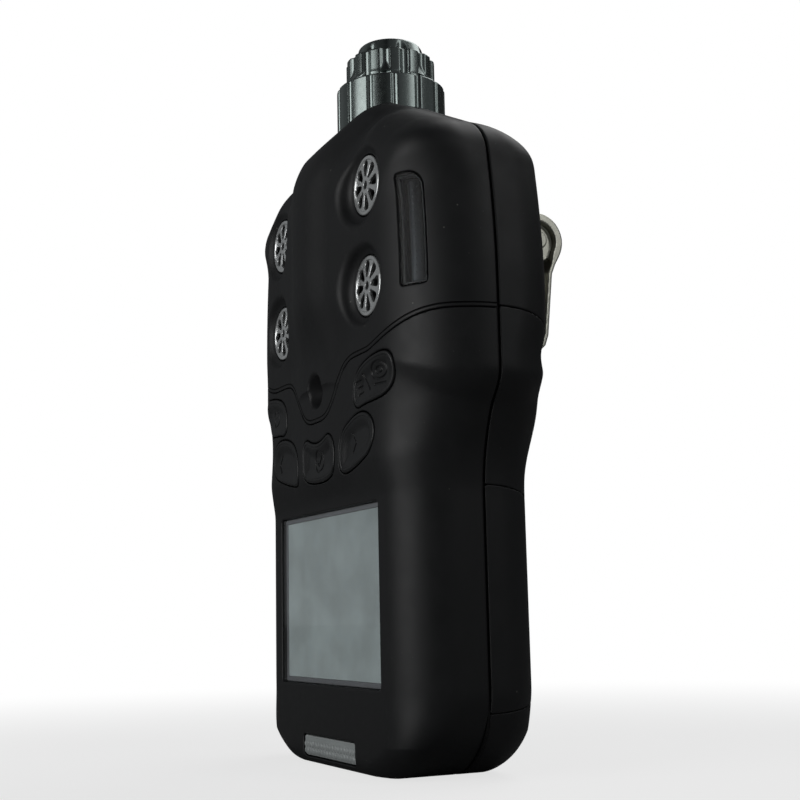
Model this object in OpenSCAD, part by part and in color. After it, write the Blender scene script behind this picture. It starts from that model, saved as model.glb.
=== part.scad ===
// Portable four-gas detector with torch head, belt clip and sealed case.
// X right (seen from the front), Y towards the back, Z up. Millimetres.
// Origin: centre of the base, in the parting plane between front and rear covers.

/* [Case] */
// Half width of the grip
grip_hw = 39.6; // [38.6:0.2:40.6]
// Half width of the sensor head
head_hw = 47.4; // [46.4:0.2:48.4]
// Depth of the front of the grip, from the parting plane
front_d = 16.3; // [16:0.1:17]
// Depth of the rear of the grip, from the parting plane
rear_d = 13.2; // [13:0.1:14]
// How far the head stands proud of the grip, front and rear
head_step = 1.5; // [1.2:0.1:1.8]
// Wall thickness of the covers
wall = 2.2; // [2:0.1:2.4]
// Height of the case top, under the torch
case_h = 141.4; // [141:0.2:142]

/* [Sensors] */
// Distance of each sensor column from the middle
sensor_x = 23.7; // [23.2:0.1:24.2]
// Height of the lower sensor row
sensor_z1 = 96.0; // [95.6:0.1:96.2]
// Height of the upper sensor row
sensor_z2 = 117.0; // [116.8:0.1:117.4]
// Diameter of a gas sensor
sensor_d = 20.2; // [20:0.1:20.4]

/* [Display] */
// Half width of the display opening
lcd_hw = 26.2; // [25.6:0.1:26.6]
// Bottom of the display opening
lcd_z0 = 16.7; // [16:0.1:17.2]
// Height of the display opening
lcd_h = 36; // [35:0.5:37]

/* [Keys] */
// Gap around every key
key_gap = 0.35; // [0.3:0.05:0.5]

/* [Torch] */
// Radius of the torch bezel's widest tier
torch_r = 12.3; // [12.1:0.1:12.4]
// Depth of the torch axis behind the parting plane
torch_y = 1.1; // [1:0.1:1.2]
// Number of flutes around the bezel
torch_flutes = 14; // [12:1:16]

/* [Clip] */
// Half width of the clip's lever plate
clip_hw = 14.5; // [13:0.5:15]
// Height of the clip's pivot
clip_z = 113.4; // [113.2:0.1:113.6]
// Depth of the clip's pivot
clip_y = 30.4; // [30.2:0.1:30.6]
// Radius of the clip's pivot pin
clip_pin_r = 1.25; // [1.2:0.05:1.3]

/* [Hidden] */

front_y = -front_d;             // front face of the grip
head_y = front_y - head_step;   // front face of the head
rear_y = rear_d;                // rear face of the grip
head_rear_y = rear_d + head_step;
seam_gap = 0.25;                // half gap at the parting plane
cover_gap = 0.15;               // half gap between upper and lower covers
lens_gap = 0.15;                // gap around the alarm windows and the status lens
span = 60;                      // half width of cutters that clear the whole case

rubber = [0.07, 0.075, 0.08];
key_black = [0.09, 0.095, 0.1];
steel = [0.62, 0.62, 0.58];
mid_grey = [0.5, 0.5, 0.5];
screw_grey = [0.4, 0.4, 0.4];
board_green = [0.05, 0.3, 0.16];

// ---- shared helpers ----
// local Z points to the front, local Y up
module facing_front(pos) translate(pos) rotate([90, 0, 0]) children();
// local Z points to the back
module facing_back(pos) translate(pos) rotate([-90, 0, 0]) children();
module extrude_y(y0, y1) facing_front([0, y1, 0]) linear_extrude(y1 - y0) children();
// extrudes a side view, drawn as [y, z]
module extrude_x(x0, x1) rotate([90, 0, 90]) translate([0, 0, x0]) linear_extrude(x1 - x0) children();
// box centred on X
module slab(half_x, start_y, start_z, depth, height)
  translate([-half_x, start_y, start_z]) cube([2 * half_x, depth, height]);
// left and right rods along Y; at = [x, z]
module rod_pair(at, y0, y1, r) for (side = [-1, 1])
  facing_front([side * at[0], y1, at[1]]) cylinder(r = r, h = y1 - y0, $fn = 40);
// coaxial cylinders; each row: start, height, radius, and end radius if tapered
module tiers(rows, sides) for (row = rows)
  translate([0, 0, row[0]]) cylinder(r1 = row[2], r2 = row[len(row) - 1], h = row[1], $fn = sides);
// screw with a hexagonal socket; each argument is one row of tiers
module socket_screw(shank, head, socket) difference() {
  tiers([shank, head], 40);
  tiers([socket], 6);
}

function smooth(x) = x <= 0 ? 0 : x >= 1 ? 1 : x * x * (3 - 2 * x);
function bezier(start, bend, end, at) =
  start * (1 - at) * (1 - at) + bend * 2 * at * (1 - at) + end * at * at;
function reversed(points) = [for (i = [len(points) - 1 : -1 : 0]) points[i]];
// mirrored in X, keeping the winding
function flip(points) = [for (p = reversed(points)) [-p[0], p[1]]];
function symmetric(points) = concat(points, flip(points));
function unit(v) = v / norm(v);
function tangent(path, i) = unit(path[min(i + 1, len(path) - 1)] - path[max(i - 1, 0)]);

// ---- case outline, front view ----
waist_z = 53;        // top of the grip
flare_z = 70;        // the widening steepens here
shoulder_z = 76.5;   // full head width
taper_z = 92;        // the head narrows above
crown_z = 118;       // the rounded top starts
flare_share = 0.54;  // part of the widening done below flare_z
taper = 0.003;
foot_r = 15;
foot_power = 2.2;    // exponent of the foot's superelliptic corner
grow = head_hw - grip_hw;
width_stations = [waist_z, 57, 61, 65, 68, flare_z, 71.5, 73, 74.5, shoulder_z,
  taper_z, 99, 106, 112, crown_z];

// half width at height z, above the rounded foot
function half_width(z) = z < waist_z ? grip_hw
  : z < flare_z ? grip_hw + grow * flare_share * pow((z - waist_z) / (flare_z - waist_z), 2)
  : z < shoulder_z ? grip_hw + grow
    * (flare_share + (1 - flare_share) * sin(90 * (z - flare_z) / (shoulder_z - flare_z)))
  : z < taper_z ? head_hw : head_hw - taper * pow(z - taper_z, 2);

// right half of the outline, shrunk by inset: foot, flank, crown, neck
function outline_right(inset) = let (r = foot_r - inset) concat(
  [for (a = [90 : -11.25 : 0]) [grip_hw - foot_r + r * pow(cos(a), 2 / foot_power),
    foot_r - r * pow(sin(a), 2 / foot_power)]],
  [for (z = width_stations) [half_width(z) - inset, z]],
  [for (i = [1 : 7]) bezier([half_width(crown_z) - inset, crown_z],
    [half_width(121) - inset, 125.6 - inset * 0.8], [36 - inset * 0.6, 128.7 - inset], i / 7)],
  [[13.6, case_h - 1.1 - inset], [11.5, case_h - inset]]);
module front_view(inset, y0, y1) extrude_y(y0, y1) polygon(symmetric(outline_right(inset)));

// ---- case outline, side view ----
head_front_z = 62;   // the front reaches the head's depth
toe_r = 3;           // front bottom corner
heel_r = 6;          // rear bottom corner
crown_r = 7;         // rear top corner
function side_outline(inset) = concat(
  [for (i = [0 : 4]) let (a = i * 22.5) [front_y + toe_r - (toe_r - inset) * sin(a),
    max(inset, toe_r - (toe_r - inset) * cos(a))]],
  [[front_y + inset, waist_z], [head_y + inset, head_front_z], [head_y + inset, crown_z]],
  [for (i = [1 : 7]) bezier([head_y + inset, crown_z], [head_y + inset, 132 - inset * 0.6],
    [-8, case_h - 1.5 - inset], i / 7)],
  [[-5, case_h - inset], [7, case_h - inset]],
  [for (i = [0 : 5]) let (a = 90 - i * 18) [head_rear_y - crown_r + (crown_r - inset) * cos(a),
    case_h - crown_r + (crown_r - inset) * sin(a)]],
  [[head_rear_y - inset, 70], [rear_y - inset, 56]],
  [for (i = [0 : 5]) let (a = -i * 18) [rear_y - heel_r + (heel_r - inset) * cos(a),
    max(inset, heel_r + (heel_r - inset) * sin(a))]]);

// ---- level sections of the case ----
// corner: front corner's reach in X, its reach in Y, rear corner radius
grip_corner = [11.5, 11.5, 10];
head_corner = [20, 17.8, 9.5];
waist_h = 24;        // height over which the section changes
waist_bands = 7;
waist_phase = 0.7;   // where in each band its section is taken
// depth at height z, going from the grip's to the head's
function side_y(z, grip, head) =
  grip + (head - grip) * max(0, min(1, (z - waist_z) / (head_front_z - waist_z)));
function section_right(half_w, front, rear, corner, inset) = concat(
  [for (a = [0 : 10 : 90]) [half_w - corner[0] + (corner[0] - inset) * sin(a),
    front + corner[1] - (corner[1] - inset) * cos(a)]],
  [for (a = [0 : 15 : 90]) [half_w - corner[2] + (corner[2] - inset) * cos(a),
    rear - corner[2] + (corner[2] - inset) * sin(a)]]);
module level(half_w, front, rear, corner, inset, z0, z1) translate([0, 0, z0])
  linear_extrude(z1 - z0) polygon(symmetric(section_right(half_w, front, rear, corner, inset)));

// the whole case as a solid, shrunk by inset
module case_body(inset) intersection() {
  union() {
    level(grip_hw, front_y, rear_y, grip_corner, inset, -1, waist_z + 0.02);
    for (i = [0 : waist_bands - 1]) {
      z0 = waist_z + i * waist_h / waist_bands;
      z1 = z0 + waist_h / waist_bands;
      corner = grip_corner
        + (head_corner - grip_corner) * smooth((i + waist_phase) / waist_bands);
      level(half_width(z1), side_y(z1, front_y, head_y), side_y(z1, rear_y, head_rear_y),
        corner, inset, z0, z1 + 0.02);
    }
    level(head_hw, head_y, head_rear_y, head_corner, inset, waist_z + waist_h, case_h + 1);
  }
  front_view(inset, -30, 30);
  extrude_x(-span, span) polygon(side_outline(inset));
}

// raised spine between the sensor columns
spine_y = head_y - 3.4;   // its front face
module spine(inset) intersection() {
  translate([0, 0, 80]) linear_extrude(60.4 - inset) polygon(symmetric([[9.8 - inset, -12],
    [9.8 - inset, -16.9], [5.6 - inset * 0.5, spine_y + inset]]));
  extrude_x(-12, 12) polygon([[head_y + inset, 83], [spine_y + inset, 104],
    [spine_y + inset, 126.5 - inset * 0.4], [-11.6, 138 - inset * 1.4],
    [-9, case_h - 1 - inset], [-6, case_h - inset], [-6, 83]]);
}

// ---- joints between the covers ----
// front seam: dips in the middle and rises towards the flanks
function seam_z(x) =
  82.8 - 11.3 * exp(-pow(abs(x) / 11.8, 3.6)) + 5.0 * smooth((abs(x) - 21) / 21);
// everything between the shifted front seam and the height far_z
module seam_side(shift, far_z) extrude_y(-40, 10) polygon(concat(
  [for (i = [-30 : 30]) let (x = i * 5 / 3) [x, seam_z(x) + shift]],
  [[50, far_z], [-50, far_z]]));

// rear joints: height at the parting plane, then rise over a given depth, as a parabola
rear_joint = [88, -2.6, 14];
battery_low_joint = [12.2, 1.7, 13];
battery_high_joint = [54.9, -2.4, 13];
joint_ys = [seam_gap, 2, 4, 6, 8, 10, 12, 14, 16];
function joint(curve, shift, ys = joint_ys) =
  [for (y = ys) [y, curve[0] + curve[1] * pow(y / curve[2], 2) + shift]];
module between(low, high) extrude_x(-span, span) polygon(concat(low, reversed(high)));

// ---- places shared by several pieces ----
// screws, as [x, z] on the right
upper_screw = [37.2, 120.2];
middle_screw = [40.6, 80];
lower_screw = [29.5, 8.6];
battery_screw = [31, 35.2];
contact_at = [8, 9];     // charging contact, as [x, z]
contact_r = 2;
buzzer_z = 78.1;
// battery bay
bay_hw = 28.4;
bay_z = 19;
bay_h = 32.6;
bay_wall = 1.4;
// status lens opening
status_hw = 13.6;
status_z = 1.7;
status_h = 4.4;
// alarm windows: s = 1 right, -1 left
window_w = 6.1;
window_h = 22.8;
module at_window(s) translate([s * 38.9, -14.35, 104])
  rotate([0, 0, s * 33]) rotate([0, -s * 3, 0]) children();
// sensors
top_left = [-sensor_x, 0, sensor_z2];
top_right = [sensor_x, 0, sensor_z2];
bottom_left = [-sensor_x, 0, sensor_z1];
bottom_right = [sensor_x, 0, sensor_z1];
module at_sensors() for (site = [top_left, top_right, bottom_left, bottom_right])
  facing_front(site) children();
grille_r = 7.2;
gasket_r = 9.8;
pocket_gap = 0.15;
// torch
neck_z = 133.4;
barrel_r = 9.55;
optic_r = 7.2;
module on_torch(z = 0) translate([0, torch_y, z]) children();
// belt clip
pad_h = 4;
pad_y = head_rear_y + pad_h;   // outer face of the pad
module at_clip_screws(y) for (z = [99, 110]) facing_front([0, y, z]) children();

// ---- key outlines, front view, as [x, z] ----
torch_key = [[18.1, 71.8], [17.7, 75.5], [18.2, 79.6], [20.6, 81.2], [26, 81.7], [32.6, 81.8],
  [36.4, 80.3], [37.1, 76.8], [35.6, 73.6], [31.5, 72.4], [26, 72], [21.5, 71.6]];
right_key = [[11.6, 60], [11.2, 63.6], [12.6, 67.6], [17, 69.9], [22.6, 70.8], [26.8, 69.2],
  [28.1, 65.6], [26, 62.2], [21.6, 60.8], [16.4, 59.6], [13.2, 59.2]];
ok_key = [[-8.3, 63.6], [-8, 67.2], [-6, 68.6], [-3, 67.4], [0.3, 66.9], [3.4, 67.4], [6.2, 68.6],
  [8.6, 67], [9.4, 63.6], [8.6, 60.2], [5.6, 59], [0.3, 58.6], [-5, 59], [-7.8, 60.2]];
key_outlines = [torch_key, flip(torch_key), right_key, flip(right_key), ok_key];

// rounded with a curve between the midpoints of neighbouring edges
function rounded(points) = let (n = len(points)) [for (i = [0 : n - 1]) for (k = [0 : 2])
  let (before = points[(i + n - 1) % n], here = points[i], after = points[(i + 1) % n])
  bezier((before + here) / 2, here, (here + after) / 2, k / 3)];
function centroid(points) =
  [for (k = [0, 1]) [for (p = points) 1] * [for (p = points) p[k]]] / len(points);
// every point moved outwards from the centroid
function grown(points, distance) = let (middle = centroid(points))
  [for (p = points) p + unit(p - middle) * distance];
module key_prism(outline, distance, y0, y1)
  extrude_y(y0, y1) polygon(grown(rounded(outline), distance));
module at_key(outline, y) {
  middle = centroid(outline);
  facing_front([middle[0], y, middle[1]]) children();
}

// ---- covers ----
// hollow case with its torch neck, before it is split into covers
module case_shell() difference() {
  union() {
    difference() {
      union() { case_body(0); spine(0); }
      union() { case_body(wall); spine(wall); }
    }
    // neck block that carries the torch
    intersection() {
      on_torch(neck_z) cylinder(r = 14.4, h = 9, $fn = 64);
      union() { case_body(0.01); spine(0.01); }
    }
  }
  on_torch(136.7) cylinder(r = torch_r + 0.35, h = 10, $fn = 64);
  on_torch(120) cylinder(r = barrel_r + 0.1, h = 30, $fn = 64);
}

module front_post(at) difference() {
  intersection() {
    rod_pair(at, -17, -seam_gap, 3.2);
    case_body(wall - 0.3);
  }
  rod_pair(at, -8, 2, 1.5);
}

module front_upper_cover() color(rubber) difference() {
  union() {
    intersection() {
      case_shell();
      slab(span, -40, 60, 40 - seam_gap, 100);
      seam_side(cover_gap, 160);
    }
    front_post(upper_screw);
  }
  // countersink, grille hole, grille pocket and gasket pocket of each sensor
  at_sensors() tiers([[16.4, 1.42, 6.6, 9.7], [0, 24, 6.15],
    [0, 15.95, grille_r + pocket_gap], [0, 15.58, gasket_r + pocket_gap]], 64);
  // countersunk hole in front of the buzzer
  facing_front([0, 0, buzzer_z]) tiers([[0, 24, 2.2], [16.6, 1.25, 2.4, 3.7]], 48);
  for (s = [-1, 1]) at_window(s) slab(window_w / 2 + lens_gap, -6, -window_h / 2 - lens_gap,
    12, window_h + 2 * lens_gap);
}

module front_lower_cover() color(rubber) difference() {
  union() {
    intersection() {
      case_shell();
      slab(span, -40, -10, 40 - seam_gap, 110);
      seam_side(-cover_gap, -10);
    }
    front_post(middle_screw);
    front_post(lower_screw);
  }
  lcd_slab(lcd_hw, -30, 20, 0);
  for (outline = key_outlines) key_prism(outline, key_gap, -24, -12);
  slab(status_hw, -30, status_z, 20, status_h);
}

// screw post of a rear cover, and its counterbored hole
module rear_post(at, end_y, r = 4.2) intersection() {
  rod_pair(at, seam_gap, end_y, r);
  case_body(wall - 0.2);
}
module rear_holes(at) {
  rod_pair(at, -1, 30, 1.6);
  rod_pair(at, 8.4, 30, 2.9);
}

module rear_upper_cover() color(rubber) difference() {
  union() {
    intersection() {
      case_shell();
      union() {
        between(joint(rear_joint, cover_gap), [[seam_gap, 170], [16, 170]]);
        slab(span, 15.5, 90, 10, 80);
      }
    }
    // stepped post: narrow at the front, wide at the back
    rear_post(upper_screw, 8, 3.3);
    difference() {
      rear_post(upper_screw, 12.6);
      slab(span, -1, 60, 8.2, 90);
    }
    // pad under the belt clip, sunk 1 into the cover
    slab(15, head_rear_y - 1, 93, pad_h + 1, 27);
  }
  rear_holes(upper_screw);
  at_clip_screws(21) cylinder(r = 1.5, h = 7, $fn = 40);
}

tub_inset = wall + 0.15;    // outer face of the tub behind the battery cover
tub_inner = wall + 1.75;    // its inner face
shoulder_h = 1.9;
battery_z0 = battery_low_joint[0];
battery_z1 = battery_high_joint[0];
battery_h = battery_z1 - battery_z0;

module rear_lower_cover() color(rubber) difference() {
  union() {
    difference() {
      intersection() {
        case_shell();
        between([[seam_gap, -5], [16, -5]], joint(rear_joint, -cover_gap));
      }
      // opening for the battery cover
      between(joint(battery_low_joint, 0, concat([-1], joint_ys)),
        joint(battery_high_joint, 0, concat([-1], joint_ys)));
    }
    // inner tub with the battery bay
    difference() {
      intersection() {
        case_body(tub_inset);
        slab(span, seam_gap, battery_z0 - 2, 40, battery_h + 4);
      }
      difference() {
        intersection() {
          case_body(tub_inner);
          slab(span, seam_gap - 1, battery_z0 - 3, 40, battery_h + 6);
        }
        slab(bay_hw + bay_wall, -3, bay_z - bay_wall, 30, bay_h + 2 * bay_wall);
      }
      slab(bay_hw, 0.6 + seam_gap, bay_z, 30, bay_h);
    }
    // shoulders that tie the tub to the cover above and below the opening
    intersection() {
      difference() { case_body(wall - 0.3); case_body(tub_inner); }
      union() {
        slab(span, seam_gap, battery_z0 - 2, 40, shoulder_h);
        slab(span, seam_gap, battery_z1 + 0.1, 40, shoulder_h);
      }
    }
    rear_post(middle_screw, 11.2);
    rear_post(lower_screw, 11.2);
    intersection() {
      rod_pair(battery_screw, seam_gap, 10.5, 3);
      case_body(wall + 0.2);
    }
  }
  rear_holes(middle_screw);
  rear_holes(lower_screw);
  rod_pair(battery_screw, 2, 20, 1.25);
  rod_pair(contact_at, 8, 20, contact_r + 0.05);
}

module battery_cover() color(rubber) difference() {
  intersection() {
    difference() { case_body(0); case_body(wall); }
    between(joint(battery_low_joint, cover_gap), joint(battery_high_joint, -cover_gap));
  }
  rod_pair(battery_screw, 5, 30, 1.35);
  rod_pair(battery_screw, 11.2, 30, 2.5);
}

// flat elastomer ring in the parting plane, open at the torch neck
module case_seal() color([0.04, 0.04, 0.045]) difference() {
  intersection() {
    front_view(0.7, -seam_gap + 0.01, seam_gap - 0.01);
    case_body(0.3);
  }
  front_view(wall - 0.1, -1, 1);
  slab(15, -5, 133, 10, 20);
}

// ---- display ----
panel_hw = 28;
panel_margin = 1.6;   // panel beyond the opening, above and below
panel_gap = 0.2;
frame_wall = 1.4;
// box that overlaps the display opening by margin, above and below
module lcd_slab(half_x, start_y, depth, margin)
  slab(half_x, start_y, lcd_z0 - margin, depth, lcd_h + 2 * margin);

module display_window() color([0.75, 0.8, 0.82, 0.35]) {
  lcd_slab(lcd_hw - 0.1, front_y + 0.35, 2, -0.1);
  // flange behind the cover wall
  lcd_slab(lcd_hw + 1.8, front_y + wall, 0.9, 1.8);
}
module display_frame() color([0.55, 0.56, 0.56]) difference() {
  lcd_slab(panel_hw + panel_gap + frame_wall, -13.1, 3.4, panel_margin + panel_gap + frame_wall);
  lcd_slab(panel_hw + panel_gap, -14, 5, panel_margin + panel_gap);
}
module lcd_panel() color([0.46, 0.5, 0.5]) lcd_slab(panel_hw, -13, 2.6, panel_margin);

// ---- keys ----
key_back_y = -14.4;
key_board_y = -11.6;   // front face of the key board
module key_cap(outline) color(key_black) {
  intersection() {
    key_prism(outline, 0, head_y - 0.25, key_back_y);
    case_body(-0.35);
  }
  // rim that holds the cap behind the cover
  intersection() {
    key_prism(outline, 0.65, -15.35, key_back_y);
    case_body(wall + 0.15);
  }
  // stem
  at_key(outline, -12.9) cylinder(r = 2, h = 1.6, $fn = 32);
}
module key_power() key_cap(flip(torch_key));
module key_torch() key_cap(torch_key);
module key_left() key_cap(flip(right_key));
module key_ok() key_cap(ok_key);
module key_right() key_cap(right_key);

// sheet behind the keys, cut out round the buzzer
module key_layer(start_y, thickness) difference() {
  intersection() {
    slab(36, start_y, 57.2, thickness, 26.6);
    case_body(wall + 0.3);
  }
  facing_front([0, 0, buzzer_z]) cylinder(r = 7, h = 20, $fn = 48);
}
module keypad_sheet() color([0.2, 0.2, 0.21]) difference() {
  key_layer(-13.3, 0.8);
  for (outline = key_outlines) at_key(outline, 0) cylinder(r = 3, h = 20, $fn = 40);
}
module key_board() color(board_green) key_layer(key_board_y, 1.2);
module key_domes() color(steel) for (outline = key_outlines)
  at_key(outline, key_board_y - 0.01) cylinder(r1 = 2.8, r2 = 1.8, h = 0.3, $fn = 40);

// ---- boards ----
// blocks on the back of the main board: x, z, width, height
main_blocks = [[-20, 58, 12, 12], [4, 60, 16, 9], [-6, 74, 9, 7], [20, 76, 9, 6]];
module main_board() color(board_green) {
  difference() {
    slab(34, -7.6, 6.5, 1.6, 78);
    rod_pair(lower_screw, -20, 0, 4);
  }
  for (b = main_blocks) translate([b[0], -6.05, b[1]]) cube([b[2], 1.8, b[3]]);
}

// right half of the sensor board, as [x, z]
sensor_board_right = [[34, 84.8], [34, 112], [31.5, 116], [31.5, 124.4], [28.5, 127.4]];
// three pins on a circle round the sensor axis
module sensor_pins(r, start, h) for (a = [90, 210, 330])
  translate([6.5 * cos(a), 6.5 * sin(a), start]) cylinder(r = r, h = h, $fn = 24);
module sensor_board() color(board_green) difference() {
  extrude_y(4.8, 6.4) polygon(symmetric(sensor_board_right));
  at_sensors() sensor_pins(1, -10, 8);
}

// ---- sensor stacks; local Z is the distance in front of the parting plane ----
slot_r = 2.4;   // radius where the grille slots start
slot_w = 1;
// grille disc with eight radial slots round a centre hole
module grille(site) color([0.8, 0.81, 0.8]) facing_front(site) difference() {
  tiers([[14.9, 1, grille_r], [14.9, 1.55, 6.07]], 64);
  translate([0, 0, 10]) cylinder(r = 0.8, h = 10, $fn = 32);
  for (i = [0 : 7]) rotate([0, 0, i * 45]) {
    translate([slot_r, -slot_w / 2, 10]) cube([2, slot_w, 10]);
    translate([4.3, 0, 10]) cylinder(r = 0.6, h = 10, $fn = 16);
    translate([slot_r, 0, 10]) cylinder(r = slot_w / 2, h = 10, $fn = 16);
  }
}
module gas_filter(site) color([0.86, 0.86, 0.84])
  facing_front(site) tiers([[14.3, 0.55, grille_r]], 64);
module sensor_gasket(site) color([0.1, 0.1, 0.1]) facing_front(site) difference() {
  tiers([[13.3, 2.25, gasket_r]], 64);
  tiers([[12.3, 5, 7.45]], 64);
}
module gas_sensor(site, tint) color(tint) facing_front(site) {
  tiers([[-3.4, 16.65, sensor_d / 2]], 64);
  sensor_pins(0.75, -7.4, 5);
}
module grille_top_left() grille(top_left);
module grille_top_right() grille(top_right);
module grille_bottom_left() grille(bottom_left);
module grille_bottom_right() grille(bottom_right);
module filter_top_left() gas_filter(top_left);
module filter_top_right() gas_filter(top_right);
module filter_bottom_left() gas_filter(bottom_left);
module filter_bottom_right() gas_filter(bottom_right);
module gasket_top_left() sensor_gasket(top_left);
module gasket_top_right() sensor_gasket(top_right);
module gasket_bottom_left() sensor_gasket(bottom_left);
module gasket_bottom_right() sensor_gasket(bottom_right);
module sensor_top_left() gas_sensor(top_left, [0.75, 0.75, 0.72]);
module sensor_top_right() gas_sensor(top_right, [0.85, 0.85, 0.8]);
module sensor_bottom_left() gas_sensor(bottom_left, [0.8, 0.78, 0.7]);
module sensor_bottom_right() gas_sensor(bottom_right, [0.7, 0.72, 0.74]);

// ---- alarm and status lights ----
module alarm_window(s) color([0.3, 0.32, 0.33, 0.6]) intersection() {
  at_window(s) slab(window_w / 2, -4, -window_h / 2, 6.2, window_h);
  case_body(0.15);
}
// strip with five square LEDs
module alarm_led(s) color([0.85, 0.86, 0.82]) at_window(s) {
  slab(2.2, 3.6, -10.5, 0.8, 21);
  for (i = [-2 : 2]) slab(1.2, 2.6, i * 4.2 - 1.2, 1.05, 2.4);
}
module alarm_window_left() alarm_window(-1);
module alarm_window_right() alarm_window(1);
module alarm_led_left() alarm_led(-1);
module alarm_led_right() alarm_led(1);

lens_d = 16.4;   // from 30 in front of the parting plane, before trimming to the case
module status_lens() color([0.75, 0.77, 0.75]) intersection() {
  union() {
    slab(status_hw - lens_gap, -30, status_z + lens_gap, lens_d, status_h - 2 * lens_gap);
    // ribs, within the bar
    for (i = [-12 : 12]) translate([i * 1.05 - 0.25, -30, 1.9]) cube([0.5, lens_d, 4]);
  }
  case_body(0.1);
}
module status_led() color([0.9, 0.9, 0.85]) {
  slab(10, -12.6, 3.2, 0.8, 3);
  for (x = [-6, 0, 6]) translate([x - 1, -13.2, 3.6]) cube([2, 0.7, 2]);
}

// ---- buzzer, motor, battery ----
module buzzer() color([0.06, 0.06, 0.06]) facing_front([0, -10.2, buzzer_z]) difference() {
  cylinder(r = 6, h = 4.6, $fn = 64);
  translate([0, 0, 3]) cylinder(r = 1.2, h = 5, $fn = 32);
}
module buzzer_mesh() color(mid_grey)
  facing_front([0, -14.95, buzzer_z]) cylinder(r = 5, h = 0.4, $fn = 48);
module vibration_motor() color(steel)
  facing_back([22, -2.6, 70]) cylinder(r = 5, h = 3.2, $fn = 48);
pack_gap = 0.6;
module battery_pack() color([0.15, 0.3, 0.55])
  slab(bay_hw - pack_gap, 1.1, bay_z + pack_gap, 9.2, bay_h - 2 * pack_gap);
module charging_contacts() color([0.85, 0.68, 0.3])
  rod_pair(contact_at, rear_y - 4.4, rear_y - 0.4, contact_r);

// ---- torch ----
bezel_mid_r = 10.1;   // second tier of the bezel
// ring of upright grooves: ring radius, groove radius, heights, count, starting angle
module flutes(ring_r, groove_r, z0, z1, count, phase) for (i = [0 : count - 1])
  rotate([0, 0, i * 360 / count + phase]) translate([ring_r, 0, z0])
    cylinder(r = groove_r, h = z1 - z0, $fn = 24);
module torch_bezel() color([0.28, 0.31, 0.31]) on_torch() difference() {
  tiers([[138, 10.2, torch_r], [148.2, 0.6, torch_r, torch_r - 0.7],
    [148.8, 6.2, bezel_mid_r], [155, 0.6, bezel_mid_r, bezel_mid_r - 0.7],
    [155.6, 3.5, 8.2, 6.8]], 96);
  flutes(torch_r + 0.2, 0.75, 136, 148.7, torch_flutes, 3.8);
  flutes(bezel_mid_r + 0.7, 1.3, 149.3, 155.5, torch_flutes, 19.2);
  flutes(8.5, 1.3, 155.5, 160, torch_flutes / 2, 45.6);
  tiers([[130, 19, 9], [148, 8, optic_r + 0.2], [156, 9, 5.6]], 64);
}
module torch_barrel() color(mid_grey) on_torch() difference() {
  tiers([[128.6, 8, barrel_r], [128.6, 19.2, 8.95]], 64);
  tiers([[130.2, 30, 7.6]], 64);
}
module torch_seal() color([0.05, 0.05, 0.05]) on_torch(137.3)
  rotate_extrude($fn = 64) translate([10.6, 0]) circle(r = 0.55, $fn = 24);
// ring nut with six notches
module torch_nut() color(steel) on_torch(131.2) difference() {
  cylinder(r = 10.9, h = 2.1, $fn = 64);
  translate([0, 0, -1]) cylinder(r = 9.6, h = 5, $fn = 64);
  for (a = [0 : 60 : 300]) rotate([0, 0, a]) translate([10.4, -0.8, -1]) cube([2, 1.6, 5]);
}
module torch_led() color([0.9, 0.85, 0.4]) on_torch() {
  tiers([[148.2, 1.4, optic_r]], 48);
  tiers([[149.5, 0.9, 1.7]], 32);
}
module torch_reflector() color([0.9, 0.9, 0.9]) on_torch() difference() {
  tiers([[149.8, 4.8, optic_r]], 64);
  tiers([[149, 3, 2]], 48);
  tiers([[150.6, 4.1, 2.2, 6.8]], 64);
}
module torch_lens() color([0.85, 0.9, 0.92, 0.3])
  on_torch(154.7) cylinder(r = optic_r, h = 1.2, $fn = 64);

// ---- belt clip ----
base_t = 1.2;    // thickness of the base plate
ear_t = 1;       // thickness of the ears that hold the pin
module at_pivot(x = 0) translate([x, clip_y, clip_z]) rotate([0, 90, 0]) children();
module pivot_bore() at_pivot(-20) cylinder(r = clip_pin_r + 0.05, h = 40, $fn = 40);
// puts an ear that starts at x = 0 on either side, its inner face at inner_x
module ear_pair(inner_x) for (x = [-inner_x - ear_t, inner_x]) translate([x, 0, 0]) children();
module jaw_teeth(y, z, depth) for (x = [-10 : 4 : 10])
  translate([x - 0.8, y, z]) cube([1.6, depth, 1.6]);

module clip_base() color(steel) difference() {
  union() {
    slab(13.8, pad_y, 79, base_t, 40);
    ear_pair(10.4) {
      extrude_x(0, ear_t) polygon([[pad_y + 0.5, 103], [pad_y + 0.5, 116.9],
        [clip_y - 1, 115.0], [clip_y - 1, 110.5]]);
      at_pivot() cylinder(r = 3.1, h = ear_t, $fn = 40);
    }
    jaw_teeth(pad_y + 0.8, 79.2, 0.9);
  }
  pivot_bore();
  at_clip_screws(25) cylinder(r = 1.6, h = 10, $fn = 40);
}

roll_r = 5.2;    // radius of the lever's rolled top
sheet_t = 1.1;
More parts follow.
